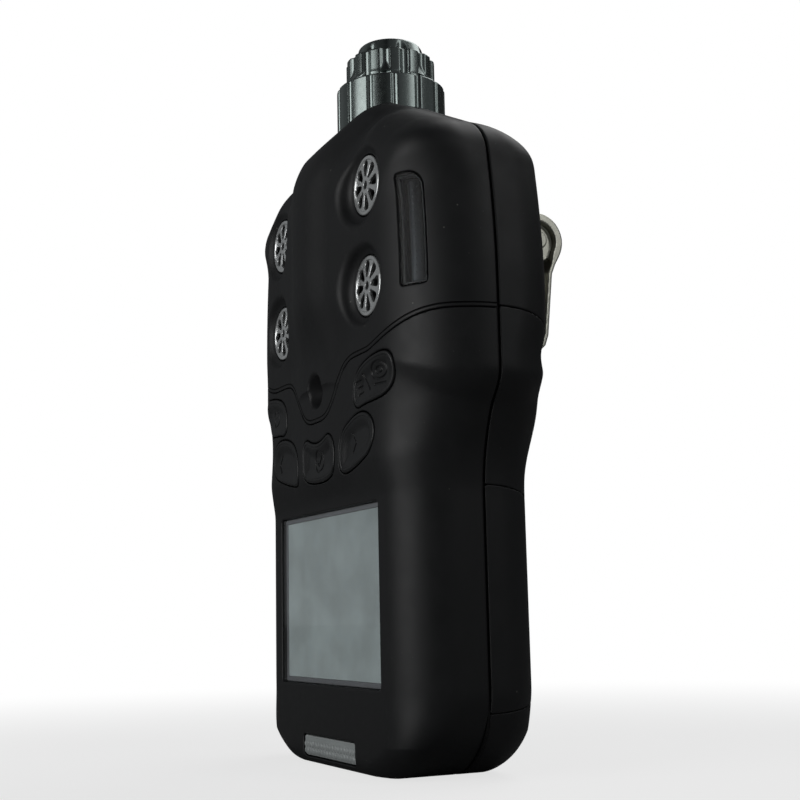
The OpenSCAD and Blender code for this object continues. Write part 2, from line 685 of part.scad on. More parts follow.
// centre line of the lever sheet, as [y, z]: a rolled top, a flat plate, a bent jaw
lever_path = concat(
  [for (a = [122 : -12 : -22]) [clip_y + roll_r * cos(a), clip_z + roll_r * sin(a)]],
  [[clip_y + 2.6, 105.8], [clip_y + 1.0, 91.6], [clip_y + 0.2, 89.4],
   [pad_y + 3.2, 81.6], [pad_y + 3.0, 80.2], [pad_y + 4.2, 78.2]]);
function normal(path, i) = let (along = tangent(path, i)) [-along[1], along[0]];
function path_offset(path, shift) = [for (i = [0 : len(path) - 1]) path[i] + normal(path, i) * shift];
function ribbon(path, width) =
  concat(path_offset(path, width / 2), reversed(path_offset(path, -width / 2)));
module clip_lever() color(steel) difference() {
  union() {
    extrude_x(-clip_hw, clip_hw) polygon(ribbon(lever_path, sheet_t));
    intersection() {
      ear_pair(11.9) at_pivot() cylinder(r = 5.3, h = ear_t, $fn = 48);
      extrude_x(-20, 20) polygon([[clip_y - 2.4, 130], [clip_y - 2.6, 112], [clip_y - 1, 110],
        [clip_y + 0.5, 104], [50, 100], [50, 130]]);
    }
    jaw_teeth(pad_y + 2.05, 80.2, 1.2);
  }
  pivot_bore();
}

pin_l = 27.2;
module clip_pin() color([0.7, 0.7, 0.68]) at_pivot(-pin_l / 2)
  tiers([[0, pin_l, clip_pin_r], [-0.8, 0.85, 2.1], [pin_l - 0.05, 0.85, 2.1]], 40);

// torsion spring: a coil round the pin with a leg on each sheet
coil_r = 2.3;
coil_hw = 4.6;
coil_turns = 9;
coil_steps = coil_turns * 12;
wire_r = 0.4;
coil_path = concat([[-coil_hw, pad_y + 1.75, 104.5]],
  [for (i = [0 : coil_steps]) let (a = 180 + i * 30) [-coil_hw + 2 * coil_hw * i / coil_steps,
    clip_y + coil_r * cos(a), clip_z + coil_r * sin(a)]],
  [[coil_hw, clip_y + 0.9, 104.6]]);
// round wire along a path; n sides
module sweep(path, r, n) {
  count = len(path);
  aside = [0.93, 0.28, 0.24];   // fixes the twist; not parallel to any part of the path
  points = [for (i = [0 : count - 1])
    let (along = tangent(path, i), u = unit(cross(along, aside)), v = cross(along, u))
    for (k = [0 : n - 1]) path[i] + r * (u * cos(k * 360 / n) + v * sin(k * 360 / n))];
  polyhedron(points, concat(
    [[for (k = [0 : n - 1]) k]],
    [[for (k = [n - 1 : -1 : 0]) (count - 1) * n + k]],
    [for (i = [0 : count - 2]) for (k = [0 : n - 1]) let (next = (k + 1) % n)
      [i * n + k, (i + 1) * n + k, (i + 1) * n + next, i * n + next]]));
}
module clip_spring() color(mid_grey) sweep(coil_path, wire_r, 8);

// ---- screws ----
module clip_screws() color([0.45, 0.45, 0.44]) at_clip_screws(pad_y + base_t)
  socket_screw(shank = [0, 5.5, 1.45], head = [-1.4, 1.4, 2.7], socket = [-2, 1.6, 1.1]);
shank_l = 15.4;
module case_screws() color(screw_grey)
  for (at = [upper_screw, middle_screw, lower_screw]) for (side = [-1, 1])
    facing_back([side * at[0], -7, at[1]]) socket_screw(shank = [0, shank_l, 1.42],
      head = [shank_l, 1.9, 2.6], socket = [shank_l + 0.9, 3, 1.2]);
module battery_screws() color(screw_grey) for (side = [-1, 1])
  facing_back([side * battery_screw[0], 2.8, battery_screw[1]])
    socket_screw(shank = [0, 8.6, 1.2], head = [8.41, 0.8, 2.3], socket = [8.7, 3, 0.9]);

front_upper_cover();
front_lower_cover();
rear_upper_cover();
rear_lower_cover();
battery_cover();
case_seal();
display_window();
display_frame();
lcd_panel();
key_power();
key_torch();
key_left();
key_ok();
key_right();
keypad_sheet();
key_board();
key_domes();
main_board();
sensor_board();
grille_top_left();
grille_top_right();
grille_bottom_left();
grille_bottom_right();
filter_top_left();
filter_top_right();
filter_bottom_left();
filter_bottom_right();
gasket_top_left();
gasket_top_right();
gasket_bottom_left();
gasket_bottom_right();
sensor_top_left();
sensor_top_right();
sensor_bottom_left();
sensor_bottom_right();
alarm_window_left();
alarm_window_right();
alarm_led_left();
alarm_led_right();
status_lens();
status_led();
buzzer();
buzzer_mesh();
vibration_motor();
battery_pack();
torch_bezel();
torch_lens();
torch_reflector();
torch_led();
torch_barrel();
torch_seal();
torch_nut();
clip_base();
clip_lever();
clip_pin();
clip_spring();
clip_screws();
case_screws();
battery_screws();
charging_contacts();
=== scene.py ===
# A handheld sensor unit in a black rubber case: keypad and screen, four sensor grilles,
# alarm windows on both shoulders, a torch on top and a steel belt clip behind.
# It stands upright on z = 0 with its front towards -y, its back towards +y and its right
# side towards +x. Most pieces are signed distance fields in millimetres (negative inside),
# turned into meshes in metres.
import bmesh
import bpy
import math
import numpy as np
from functools import reduce
from itertools import product
from mathutils import Matrix, Vector

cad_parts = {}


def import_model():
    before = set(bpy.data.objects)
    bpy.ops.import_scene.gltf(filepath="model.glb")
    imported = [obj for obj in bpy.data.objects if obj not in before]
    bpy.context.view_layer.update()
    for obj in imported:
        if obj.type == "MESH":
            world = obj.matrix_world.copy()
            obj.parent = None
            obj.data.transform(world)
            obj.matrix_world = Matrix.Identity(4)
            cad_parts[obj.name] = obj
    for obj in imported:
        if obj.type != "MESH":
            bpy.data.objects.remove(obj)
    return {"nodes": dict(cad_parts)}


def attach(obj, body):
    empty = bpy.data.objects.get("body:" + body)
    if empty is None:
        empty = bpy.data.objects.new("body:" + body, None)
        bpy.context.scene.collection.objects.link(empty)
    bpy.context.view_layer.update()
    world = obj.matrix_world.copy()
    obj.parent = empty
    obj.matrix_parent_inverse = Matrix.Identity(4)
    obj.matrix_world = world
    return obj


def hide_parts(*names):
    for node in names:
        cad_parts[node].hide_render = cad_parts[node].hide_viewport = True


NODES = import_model()["nodes"]


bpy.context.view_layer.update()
MM = 0.001

# grid cells, in mm
CELL = 0.26
REAR_CELL = CELL * 1.15
KEY_CELL = 0.135
GRILLE_CELL = 0.13
CHIN_CELL = 0.13
ALARM_CELL = 0.2
BORDER_CELL = 0.22
TORCH_CELL = 0.2
LEVER_CELL = 0.27
BASE_CELL = 0.28

# case, in mm
LOW_HALF = 39.6             # half width below the swell
SWELL = 7.8                 # what the swell adds to the half width
FOOT_R = 17                 # bottom corners of the outline
TOP_Z, LOW_Z = 141.6, -0.2  # meshing limits
HALF_X = 47.6
SPLIT = 0.25                # gap either side of y = 0, between front and rear covers
WALL = 2.4
SEAM_Z = 82.2               # front seam: level, middle dip, and a step up at the sides
DIP, DIP_HALF, DIP_POWER = 10.7, 11.8, 3.6
STEP, STEP_X, STEP_SPAN = 5.35, 24.5, 20.5
COVER_LOW, COVER_HIGH = 12.2, 54.9       # battery cover, z at its front edge

# places on the case, in mm
SENSOR_X, SENSOR_LOW, SENSOR_HIGH = 23.7, 96.0, 117.0
SCREEN_Z = 34.7
CHIN_Z = 3.9
CONTACT_X, CONTACT_Z = 8, 9
REAR_SCREWS = [(37.2, 120.2), (40.6, 80.0), (29.5, 8.6)]  # x, z; the first is in the upper cover
SCREW_BORE, POST_R = 1.6, 4.6
CLIP_SCREW_Z = (99, 110)
PAD_Y = 18.7                # face the clip sits on
TORCH_Y = 1.1               # torch axis
PIN_Y, PIN_Z, PIN_BORE = 30.4, 113.4, 1.32


# ------------------------------------------------------------ field helpers
def ease(t):
    t = np.clip(t, 0.0, 1.0)
    return t * t * (3 - 2 * t)


def rise(value, start, span):
    """Smooth step from 0 to 1 that begins at start and takes span."""
    return ease((value - start) / span)


def length(a, b):
    return np.sqrt(a * a + b * b)


def both(*fields):
    return reduce(np.maximum, fields)


def either(*fields):
    return reduce(np.minimum, fields)


def cut(field, tool):
    return np.maximum(field, -tool)


def soft_max(a, b, k):
    h = np.maximum(k - np.abs(a - b), 0.0) / k
    return np.maximum(a, b) + h * h * k * 0.25


def soft_min(a, b, k):
    return -soft_max(-a, -b, k)


def carve(field, tool, k):
    """Cut with an edge softened over k."""
    return soft_max(field, -tool, k)


def round_max(a, b, r):
    """Intersection of a and b whose outside edge is rounded to radius r."""
    u, v = np.maximum(a + r, 0.0), np.maximum(b + r, 0.0)
    return np.minimum(np.maximum(a, b), -r) + np.sqrt(u * u + v * v)


def local(near, tool):
    """A cutting tool that acts only where near is true."""
    return np.where(near, tool, 5.0)


def rounded_rect(u, v, half_u, half_v, r):
    a, b = np.abs(u) - half_u + r, np.abs(v) - half_v + r
    return length(np.maximum(a, 0.0), np.maximum(b, 0.0)) + np.minimum(np.maximum(a, b), 0.0) - r


def segment(x, z, start, end):
    """Distance to a straight segment."""
    start, end = np.array(start, float), np.array(end, float)
    along = end - start
    t = ((x - start[0]) * along[0] + (z - start[1]) * along[1]) / (along @ along)
    t = np.clip(t, 0, 1)
    return np.sqrt((x - start[0] - t * along[0]) ** 2 + (z - start[1] - t * along[1]) ** 2)


def bezier(start, pull, end, steps):
    t = np.linspace(0, 1, steps + 1)[1:, None]
    return (1 - t) ** 2 * np.array(start) + 2 * t * (1 - t) * np.array(pull) + t * t * np.array(end)


class DistanceTable:
    """Signed distance to a closed x, z outline, on a grid read back with cubic interpolation."""

    def __init__(self, points, lo, hi, cell, passes):
        points = np.asarray(points, float)
        self.lo, self.cell = np.array(lo, float), cell
        count = [int(math.ceil((hi[i] - lo[i]) / cell)) + 1 for i in range(2)]
        axes = [lo[i] + cell * np.arange(count[i]) for i in range(2)]
        x, z = [grid.ravel() for grid in np.meshgrid(*axes, indexing="ij")]
        nearest = np.full(x.shape, 1e9)
        inside = np.zeros(x.shape, bool)
        for a, b in zip(points, np.roll(points, -1, axis=0)):
            d = b - a
            square = d @ d
            if square < 1e-12:
                continue
            t = np.clip(((x - a[0]) * d[0] + (z - a[1]) * d[1]) / square, 0, 1)
            gap = (x - a[0] - t * d[0]) ** 2 + (z - a[1] - t * d[1]) ** 2
            np.minimum(nearest, gap, out=nearest)
            if d[1] != 0:
                crossing = (a[1] > z) != (b[1] > z)
                inside ^= crossing & (x < a[0] + (z - a[1]) * d[0] / d[1])
        grid = (np.sqrt(nearest) * np.where(inside, -1, 1)).reshape(count)
        # each pass smooths along x, then along z
        for _ in range(2 * passes):
            wide = np.pad(grid, 1, mode="reflect", reflect_type="odd")
            grid = ((wide[:-2, 1:-1] + 2 * wide[1:-1, 1:-1] + wide[2:, 1:-1]) / 4).T
        self.grid = grid

    @staticmethod
    def weights(t):
        return (((-0.5 * t + 1) * t - 0.5) * t, (1.5 * t - 2.5) * t * t + 1,
                ((-1.5 * t + 2) * t + 0.5) * t, (0.5 * t - 0.5) * t * t)

    def __call__(self, x, z):
        u, v = (x - self.lo[0]) / self.cell, (z - self.lo[1]) / self.cell
        u, v = np.broadcast_arrays(u, v)
        u = np.clip(u, 1.001, self.grid.shape[0] - 2.001)
        v = np.clip(v, 1.001, self.grid.shape[1] - 2.001)
        i, j = np.floor(u).astype(int), np.floor(v).astype(int)
        weight_u, weight_v = self.weights(u - i), self.weights(v - j)
        total = 0
        for p in range(4):
            row = 0
            for q in range(4):
                row = row + weight_v[q] * self.grid[i + p - 1, j + q - 1]
            total = total + weight_u[p] * row
        return total


# ------------------------------------------------------------ the case as a field
def half_width(z):
    z = np.asarray(z, float)
    lower, upper = np.clip((z - 53) / 17, 0, 1), np.clip((z - 70) / 6.5, 0, 1)
    swell = 0.54 * lower * lower + 0.46 * np.sin(upper * np.pi / 2)
    return LOW_HALF + SWELL * swell - 0.003 * np.maximum(z - 92, 0) ** 2


def case_outline():
    """The case from the front, as x, z points."""
    turn = np.radians(np.linspace(90, 0, 31))
    foot = np.stack([22.6 + FOOT_R * np.cos(turn), FOOT_R - FOOT_R * np.sin(turn)], 1)
    z = np.arange(18, 118.01, 1.0)
    side = np.stack([half_width(z), z], 1)
    shoulder = bezier([float(half_width(118)), 118], [float(half_width(121)), 125.4],
                      [36, 128.7], 20)
    slope = np.array([[32.5, 130.5], [26.1, 133.8], [16, 139.0]])
    neck = bezier([14.0, 140.1], [12.0, 141.3], [8.0, 141.4], 8)
    right = np.vstack([foot, side, shoulder, slope, neck])
    return np.vstack([right, right[::-1] * [-1, 1]])


OUTLINE = DistanceTable(case_outline(), lo=(-2, -10), hi=(62, 154), cell=0.4, passes=3)


def body(x, y, z, bulge=True):
    """The closed case; bulge shapes the front face behind the keys and beside the spine."""
    across = np.abs(x)
    side = OUTLINE(across, z)
    face = -(16.3 + 1.5 * rise(z, 53, 9))
    if bulge:
        zone = rise(z, 55, 5) * (1 - rise(z, 85, 7))
        face = face + zone * (0.0022 * np.minimum(across, 16) ** 2 - 0.4)
        # between the spine and the sensor columns the face falls away gently
        fall = 0.15 * np.maximum(23.2 - across, 0) * rise(z, 84, 14) * (1 - rise(z, 124, 12))
        face = face - fall
    upper = rise(z, 53, 24)
    outer = rise(across, 17, 12)
    foot = np.maximum(rise(z, 0.5, 16), 0.3 * outer)
    top = rise(z, 111, 13) * rise(across, 15, 12)
    # the front edge is a quarter ellipse with these half axes
    edge_x = 3 + (8.5 + 8.5 * upper + 2.9 * rise(z, 112, 20) * (1 - top) - 8.4 * top) * foot
    edge_y = 3 + (8.5 + 6.3 * upper - 5.2 * top) * foot
    u, v = (side + edge_x) / edge_x, (face + edge_y - y) / edge_y
    u_in, v_in = np.maximum(u, 0), np.maximum(v, 0)
    reach = np.sqrt(u_in * u_in + v_in * v_in)
    slope = np.sqrt((u_in / edge_x) ** 2 + (v_in / edge_y) ** 2) / np.maximum(reach, 1e-6)
    corner = (reach - 1) / np.maximum(slope, 1e-3)
    flat = np.maximum(side, face - y)
    core = np.maximum(flat, -0.85 * np.minimum(edge_x, edge_y))
    in_corner = (u > 0) & (v > 0)
    front = np.where(in_corner & (reach > 0.15), corner, np.where(in_corner, core, flat))
    rear_r = 6 + (4 - 0.5 * upper) * np.maximum(rise(z, 0.5, 14), 0.6 * outer)
    rear_r = rear_r + 4.0 * rise(z, 120, 10) + 2.7 * np.exp(-(((z - 78) / 7.5) ** 2))
    back = 13.2 + 1.5 * rise(z, 56, 14)
    return np.maximum(front, round_max(side, y - back, rear_r))


def below_skin(x, y, z, depth):
    """Negative nearer the surface than depth, and so positive in the hollow."""
    return -(body(x, y, z, bulge=False) + depth)


def spine(x, y, z):
    """The raised middle of the upper front, between the sensor columns."""
    across = np.abs(x)
    raised = rise(z, 80.5, 22)
    crest = -17.6 - 3.6 * raised - y
    flank = (across - y - 26.8 - 0.6 * (1 - raised)) * 0.7071
    slope = (z - 149.2 - y) * 0.7071
    ridge = round_max(crest, slope, 4.5)
    ridge = round_max(ridge, flank, 2.2)
    ridge = round_max(ridge, OUTLINE(across, z) + 0.25, 3.2)
    return both(ridge, y + 6, 80 - z)


def seam_z(x):
    across = np.abs(x)
    dip = DIP * np.exp(-((across / DIP_HALF) ** DIP_POWER))
    return SEAM_Z - dip + STEP * rise(across, STEP_X, STEP_SPAN)


def above_seam(x, z):
    """Distance above the wavy seam, roughly to scale."""
    slope = (seam_z(x + 0.2) - seam_z(x - 0.2)) / 0.4
    return (z - seam_z(x)) / np.sqrt(1 + slope * slope)


def front_skin(x, y, z):
    """Outer surface of the two front covers, with the funnels over the grilles and buzzer."""
    skin = soft_min(body(x, y, z), spine(x, y, z), 3.0)
    for sensor_z, side in product((SENSOR_LOW, SENSOR_HIGH), (-1, 1)):
        radius = length(x - side * SENSOR_X, z - sensor_z)
        cone = (radius - 7.3 - (-y - 16.3) * 0.62) * 0.85
        skin = carve(skin, soft_max(cone, y + 16.25, 1.2), 0.9)
        skin = cut(skin, both(radius - 6.42, y + 10))
    cone = (length(x, z - 78.1) - 2.0 - np.maximum(-y - 15.5, 0) * 0.62) * 0.85
    return carve(skin, cone, 0.5)


# Key outlines, x and z of the corner points of a closed smooth curve. The torch and right
# keys are mirrored for the power and left keys.
TORCH_POINTS = [
    (18.8, 75.3), (19.1, 76.9), (20.4, 78.7), (22.7, 79.9), (25.6, 80.6), (28.8, 81.0),
    (31.7, 81.2), (33.4, 80.8), (34.5, 79.5), (34.6, 77.3), (33.8, 75.1), (32.4, 73.5),
    (30.2, 72.5), (27.0, 72.1), (23.2, 71.9), (20.8, 71.5), (19.2, 72.3), (18.7, 73.8)]
RIGHT_POINTS = [
    (11.6, 60.0), (11.2, 63.6), (12.6, 67.6), (17.0, 69.9), (22.6, 70.8), (26.8, 69.2),
    (28.1, 65.6), (26.0, 62.2), (21.6, 60.8), (16.4, 59.6), (13.2, 59.2)]
OK_POINTS = [
    (-8.3, 63.6), (-8.0, 67.2), (-6.0, 68.6), (-3.0, 67.4), (0.3, 66.9), (3.4, 67.4),
    (6.2, 68.6), (8.6, 67.0), (9.4, 63.6), (8.6, 60.2), (5.6, 59.0), (0.3, 58.6),
    (-5.0, 59.0), (-7.8, 60.2)]


def key_table(points):
    points = np.array(points, float)
    following = np.roll(points, -1, axis=0)
    curve = np.vstack([
        bezier((points[i - 1] + points[i]) / 2, points[i], (points[i] + following[i]) / 2, 6)
        for i in range(len(points))])
    return DistanceTable(curve, curve.min(0) - 4, curve.max(0) + 4, cell=0.12, passes=2)


TORCH_KEY, RIGHT_KEY, OK_KEY = map(key_table, (TORCH_POINTS, RIGHT_POINTS, OK_POINTS))


def anywhere(table, x, z):
    """Table distance where the table holds, and a plain box distance outside it."""
    margin = 0.7
    lo = table.lo + margin
    hi = table.lo + table.cell * (np.array(table.grid.shape) - 1) - margin
    middle, half = (lo + hi) / 2, (hi - lo) / 2
    outside = np.maximum(np.abs(x - middle[0]) - half[0], np.abs(z - middle[1]) - half[1])
    return np.where(outside > 0, outside + 2.5, table(x, z))


def key_outlines(x, z):
    across = np.abs(x)
    return either(anywhere(TORCH_KEY, across, z), anywhere(RIGHT_KEY, across, z),
                  anywhere(OK_KEY, x, z))


# Alarm windows wrap round the shoulders: u runs across a window, turned by WINDOW_TURN
# from x about the window's middle, and the window leans with the outline.
WINDOW_TURN = math.radians(33)
WINDOW_COS, WINDOW_SIN = math.cos(WINDOW_TURN), math.sin(WINDOW_TURN)
WINDOW_X, WINDOW_Y, WINDOW_Z = 39.55, 14.0, 104.0
WINDOW_LEAN = 0.85
WINDOW_HALF_U, WINDOW_HALF_Z, WINDOW_BIG_R = 3.05, 11.4, 2.9
WIDEST = LOW_HALF + SWELL


def window_u(x, y, z):
    lean = WIDEST - half_width(z)
    shift = np.abs(x) + lean * WINDOW_LEAN - WINDOW_X
    return shift * WINDOW_COS + (y + WINDOW_Y) * WINDOW_SIN


def window(x, y, z):
    u, v = window_u(x, y, z), z - WINDOW_Z
    outline = rounded_rect(u, v, WINDOW_HALF_U, WINDOW_HALF_Z, 0.9)
    # the outer top corner is rounder
    a, b = u - (WINDOW_HALF_U - WINDOW_BIG_R), v - (WINDOW_HALF_Z - WINDOW_BIG_R)
    return np.maximum(outline, length(np.maximum(a, 0), np.maximum(b, 0)) - WINDOW_BIG_R)


def chin_outline(x, z):
    return rounded_rect(x, z - CHIN_Z, 13.5, 2.2, 0.7)


def front_outer(x, y, z):
    """Front skin with the openings for windows, keys, screen and chin lens."""
    skin = front_skin(x, y, z)
    if np.max(z) > 90:
        skin = carve(skin, window(x, y, z) - 0.02, 0.12)
    if np.min(z) < 92:
        skin = carve(skin, local(y < -6, key_outlines(x, z) - 0.24), 0.28)
        screen = rounded_rect(x, z - SCREEN_Z, 26.2, 18.0, 0.9)
        skin = carve(skin, local(y < -6, screen), 0.45)
        skin = carve(skin, local(y < -9, chin_outline(x, z) - 0.12), 0.3)
    return skin


def torch_seat(x, y, z):
    """Recess, bore and surrounding block for the torch."""
    radius = np.sqrt(x * x + (y - TORCH_Y) ** 2)
    bore = radius - 9.65
    return both(radius - 12.62, 136.7 - z), bore, both(bore - 4.7, 133.4 - z)


def front_upper(x, y, z):
    recess, bore, block = torch_seat(x, y, z)
    inner = np.maximum(below_skin(x, y, z, WALL), -9)
    cover = both(front_outer(x, y, z), either(inner, block))
    cover = cut(carve(cover, recess, 0.4), bore)
    cover = round_max(cover, 0.09 - above_seam(x, z), 0.14)
    return round_max(cover, y + SPLIT, 0.3)


def front_lower(x, y, z):
    cover = both(front_outer(x, y, z), below_skin(x, y, z, WALL))
    cover = round_max(cover, above_seam(x, z) + 0.09, 0.14)
    return round_max(cover, y + SPLIT, 0.3)


def screw_radii(x, z, screws):
    return [length(np.abs(x) - screw_x, z - screw_z) for screw_x, screw_z in screws]


def rear_outer(x, y, z):
    skin = body(x, y, z)
    for radius in screw_radii(x, z, REAR_SCREWS):
        skin = carve(skin, local(y > 4, np.maximum(radius - 2.95, 8.6 - y)), 0.5)
    return skin


def rear_seam_z(y):
    return 88.0 - 2.6 * (np.clip(y, 0, 16) / 14) ** 2


def cover_low(y):
    return COVER_LOW + 1.7 * (np.clip(y, 0, 16) / 13) ** 2


def cover_high(y):
    return COVER_HIGH - 2.4 * (np.clip(y, 0, 16) / 13) ** 2


def rear_upper(x, y, z):
    pad = round_max(rounded_rect(x, z - 106.5, 15, 13.5, 2.0), y - PAD_Y, 0.8)
    cover = soft_min(rear_outer(x, y, z), np.maximum(pad, 8 - y), 2.0)
    recess, bore, block = torch_seat(x, y, z)
    radii = screw_radii(x, z, REAR_SCREWS[:1])
    posts = [both(radius - POST_R, 6.9 - y) for radius in radii]
    cover = both(cover, either(below_skin(x, y, z, WALL), block, *posts))
    for screw_z in CLIP_SCREW_Z:
        cover = cut(cover, both(length(x, z - screw_z) - 1.5, 14 - y))
    for radius in radii:
        cover = np.maximum(cover, SCREW_BORE - radius)
    cover = cut(carve(cover, recess, 0.4), bore)
    cover = round_max(cover, rear_seam_z(y) + 0.08 - z, 0.14)
    return round_max(cover, SPLIT - y, 0.3)


def rear_lower(x, y, z):
    radii = screw_radii(x, z, REAR_SCREWS[1:])
    posts = [both(radius - POST_R, 5.9 - y) for radius in radii]
    cover = both(rear_outer(x, y, z), either(below_skin(x, y, z, WALL), *posts))
    for radius in radii:
        cover = np.maximum(cover, SCREW_BORE - radius)
    contact = length(np.abs(x) - CONTACT_X, z - CONTACT_Z)
    cover = cut(cover, both(contact - 2.05, 4 - y))
    # the battery cover's place, with an inner skin kept behind it
    band = both(cover_low(y) - z, z - cover_high(y))
    cover = round_max(cover, -band, 0.12)
    skin = both(-below_skin(x, y, z, 2.5), below_skin(x, y, z, 4.0))
    cover = either(cover, both(skin, COVER_LOW - 2 - z, z - COVER_HIGH - 2))
    cover = round_max(cover, z - rear_seam_z(y) + 0.08, 0.14)
    return round_max(cover, SPLIT - y, 0.3)


def battery_cover(x, y, z):
    cover = both(body(x, y, z), below_skin(x, y, z, 2.2))
    radius = length(np.abs(x) - 31.0, z - 35.2)
    cover = carve(cover, local(y > 4, both(radius - 2.55, 11.15 - y)), 0.4)
    cover = cut(cover, both(radius - 1.35, 4 - y))
    # five grooves across the middle of the upper half
    for i in range(5):
        groove = both(np.abs(x) - 11, np.abs(z - 42.0 - i * 1.7) - 0.45)
        cover = carve(cover, both(groove, 12.85 - y), 0.5)
    cover = round_max(cover, cover_low(y) + 0.1 - z, 0.12)
    cover = round_max(cover, z - cover_high(y) + 0.1, 0.12)
    return round_max(cover, SPLIT - y, 0.3)


# ------------------------------------------------------------ from field to mesh
CORNERS = list(product((0, 1), repeat=3))
TETRAHEDRON = np.array([(1, -1, -1), (-1, -1, 1), (-1, 1, -1), (1, 1, 1)], float)
# cells per block when merging, and the rings round a sharp edge that such blocks leave alone
BLOCKS = [(8, 7), (4, 4), (2, 2)]


def gradient(field, points, step):
    """Mean value and gradient of the field round each point."""
    slope = np.zeros_like(points)
    mean = 0.0
    for k in TETRAHEDRON:
        value = field(*(points + step * k).T)
        slope += k * value[:, None]
        mean = mean + value
    return mean / 4, slope / (4 * step)


def project(field, points, cell, steps):
    """Moves points onto the surface."""
    for _ in range(steps):
        value, slope = gradient(field, points, 0.02)
        square = np.maximum((slope * slope).sum(1), 0.05)
        points = points - np.clip(value / square, -0.6 * cell, 0.6 * cell)[:, None] * slope
    return points


def surface_normals(field, points, cell):
    _, slope = gradient(field, points, 0.35 * cell)
    return slope / np.maximum(np.linalg.norm(slope, axis=1), 1e-9)[:, None]


def surface_net(values, lo, size):
    """One vertex per cell the surface crosses, one quad per grid edge it crosses."""
    inside = values < 0
    count = np.zeros([s - 1 for s in values.shape], np.int8)
    nx, ny, nz = count.shape
    for a, b, c in CORNERS:
        count += inside[a:a + nx, b:b + ny, c:c + nz]
    cells = np.nonzero((count > 0) & (count < 8))
    total = len(cells[0])
    index = np.full(count.shape, -1, np.int64)
    index[cells] = np.arange(total)
    corner = {k: values[tuple(cells[i] + k[i] for i in range(3))].astype(float) for k in CORNERS}
    points, crossings = np.zeros((total, 3)), np.zeros(total)
    for p, q in product(CORNERS, CORNERS):
        if not (p < q and sum(abs(p[i] - q[i]) for i in range(3)) == 1):
            continue
        start, end = corner[p], corner[q]
        crossed = (start < 0) != (end < 0)
        t = np.where(crossed, start / np.where(start - end == 0, 1, start - end), 0)
        for i in range(3):
            points[:, i] += np.where(crossed, p[i] + t * (q[i] - p[i]), 0)
        crossings += crossed
    points /= crossings[:, None]
    cells = np.stack(cells, 1)
    quads = []
    for axis in range(3):
        before, after = [slice(1, -1)] * 3, [slice(1, -1)] * 3
        before[axis], after[axis] = slice(0, -1), slice(1, None)
        first = inside[tuple(before)]
        edge = np.nonzero(first != inside[tuple(after)])
        base = [edge[i] + (i != axis) for i in range(3)]

        def cell_at(back_1, back_2):
            spot = list(base)
            spot[(axis + 1) % 3] = spot[(axis + 1) % 3] - back_1
            spot[(axis + 2) % 3] = spot[(axis + 2) % 3] - back_2
            return index[tuple(spot)]

        quad = np.stack([cell_at(1, 1), cell_at(0, 1), cell_at(0, 0), cell_at(1, 0)], 1)
        turned = ~first[edge]
        quad[turned] = quad[turned][:, ::-1]
        quads.append(quad)
    return np.array(lo) + size * (points + cells), np.vstack(quads), cells


def edge_rings(normals, quads):
    """Rings of quads between each vertex and the nearest sharp edge; 99 when far."""
    rings = np.full(len(normals), 99, np.int16)
    for i in range(4):
        a, b = quads[:, i], quads[:, (i + 1) % 4]
        bent = (normals[a] * normals[b]).sum(1) < 0.965
        rings[a[bent]] = 0
        rings[b[bent]] = 0
    for k in range(1, 8):
        near = quads[(rings[quads] == k - 1).any(axis=1)].ravel()
        rings[near] = np.minimum(rings[near], k)
    return rings


def simplify(points, normals, quads, cells, bends, flat):
    """Merges the vertices of each nearly flat block of cells; sharp edges stay fine."""
    rings = edge_rings(normals, quads)
    label = np.full(len(points), -1, np.int64)
    used = 0
    for (block, keep), bend in zip(BLOCKS[-len(bends):], bends):
        free = np.nonzero(label < 0)[0]
        spot = cells[free] // block
        code = (spot[:, 0].astype(np.int64) * 4096 + spot[:, 1]) * 4096 + spot[:, 2]
        _, group, count = np.unique(code, return_inverse=True, return_counts=True)
        m = len(count)
        total = np.stack([np.bincount(group, normals[free, i], m) for i in range(3)], 1)
        middle = np.stack([np.bincount(group, points[free, i], m) for i in range(3)], 1)
        middle = middle / count[:, None]
        size = np.linalg.norm(total, axis=1)
        normal = total / np.maximum(size, 1e-9)[:, None]
        off_plane = np.abs(((points[free] - middle[group]) * normal[group]).sum(1))
        worst = np.zeros(m)
        np.maximum.at(worst, group, off_plane)
        near = np.bincount(group, rings[free] <= keep, m)
        merge = (size / count > 1 - bend) & (count > 1) & (worst < flat) & (near == 0)
        good = merge[group]
        number = np.cumsum(merge) - 1 + used
        label[free[good]] = number[group[good]]
        used += int(merge.sum())
    rest = label < 0
    m = used + int(rest.sum())
    label[rest] = np.arange(used, m)
    count = np.bincount(label, minlength=m)
    merged = np.stack([np.bincount(label, points[:, i], m) for i in range(3)], 1)
    merged = merged / count[:, None]
    face = label[quads]
    same = [face[:, i] == face[:, (i + 1) % 4] for i in range(4)]
    sames = sum(s.astype(int) for s in same)
    open_face = ~((face[:, 0] == face[:, 2]) | (face[:, 1] == face[:, 3]))
    triangles = [face[(sames == 1) & same[i] & open_face][:, [j for j in range(4) if j != i]]
                 for i in range(4)]
    return merged, face[(sames == 0) & open_face], np.vstack(triangles)


def add_object(name, data):
    obj = bpy.data.objects.new(name, data)
    bpy.context.scene.collection.objects.link(obj)
    return obj


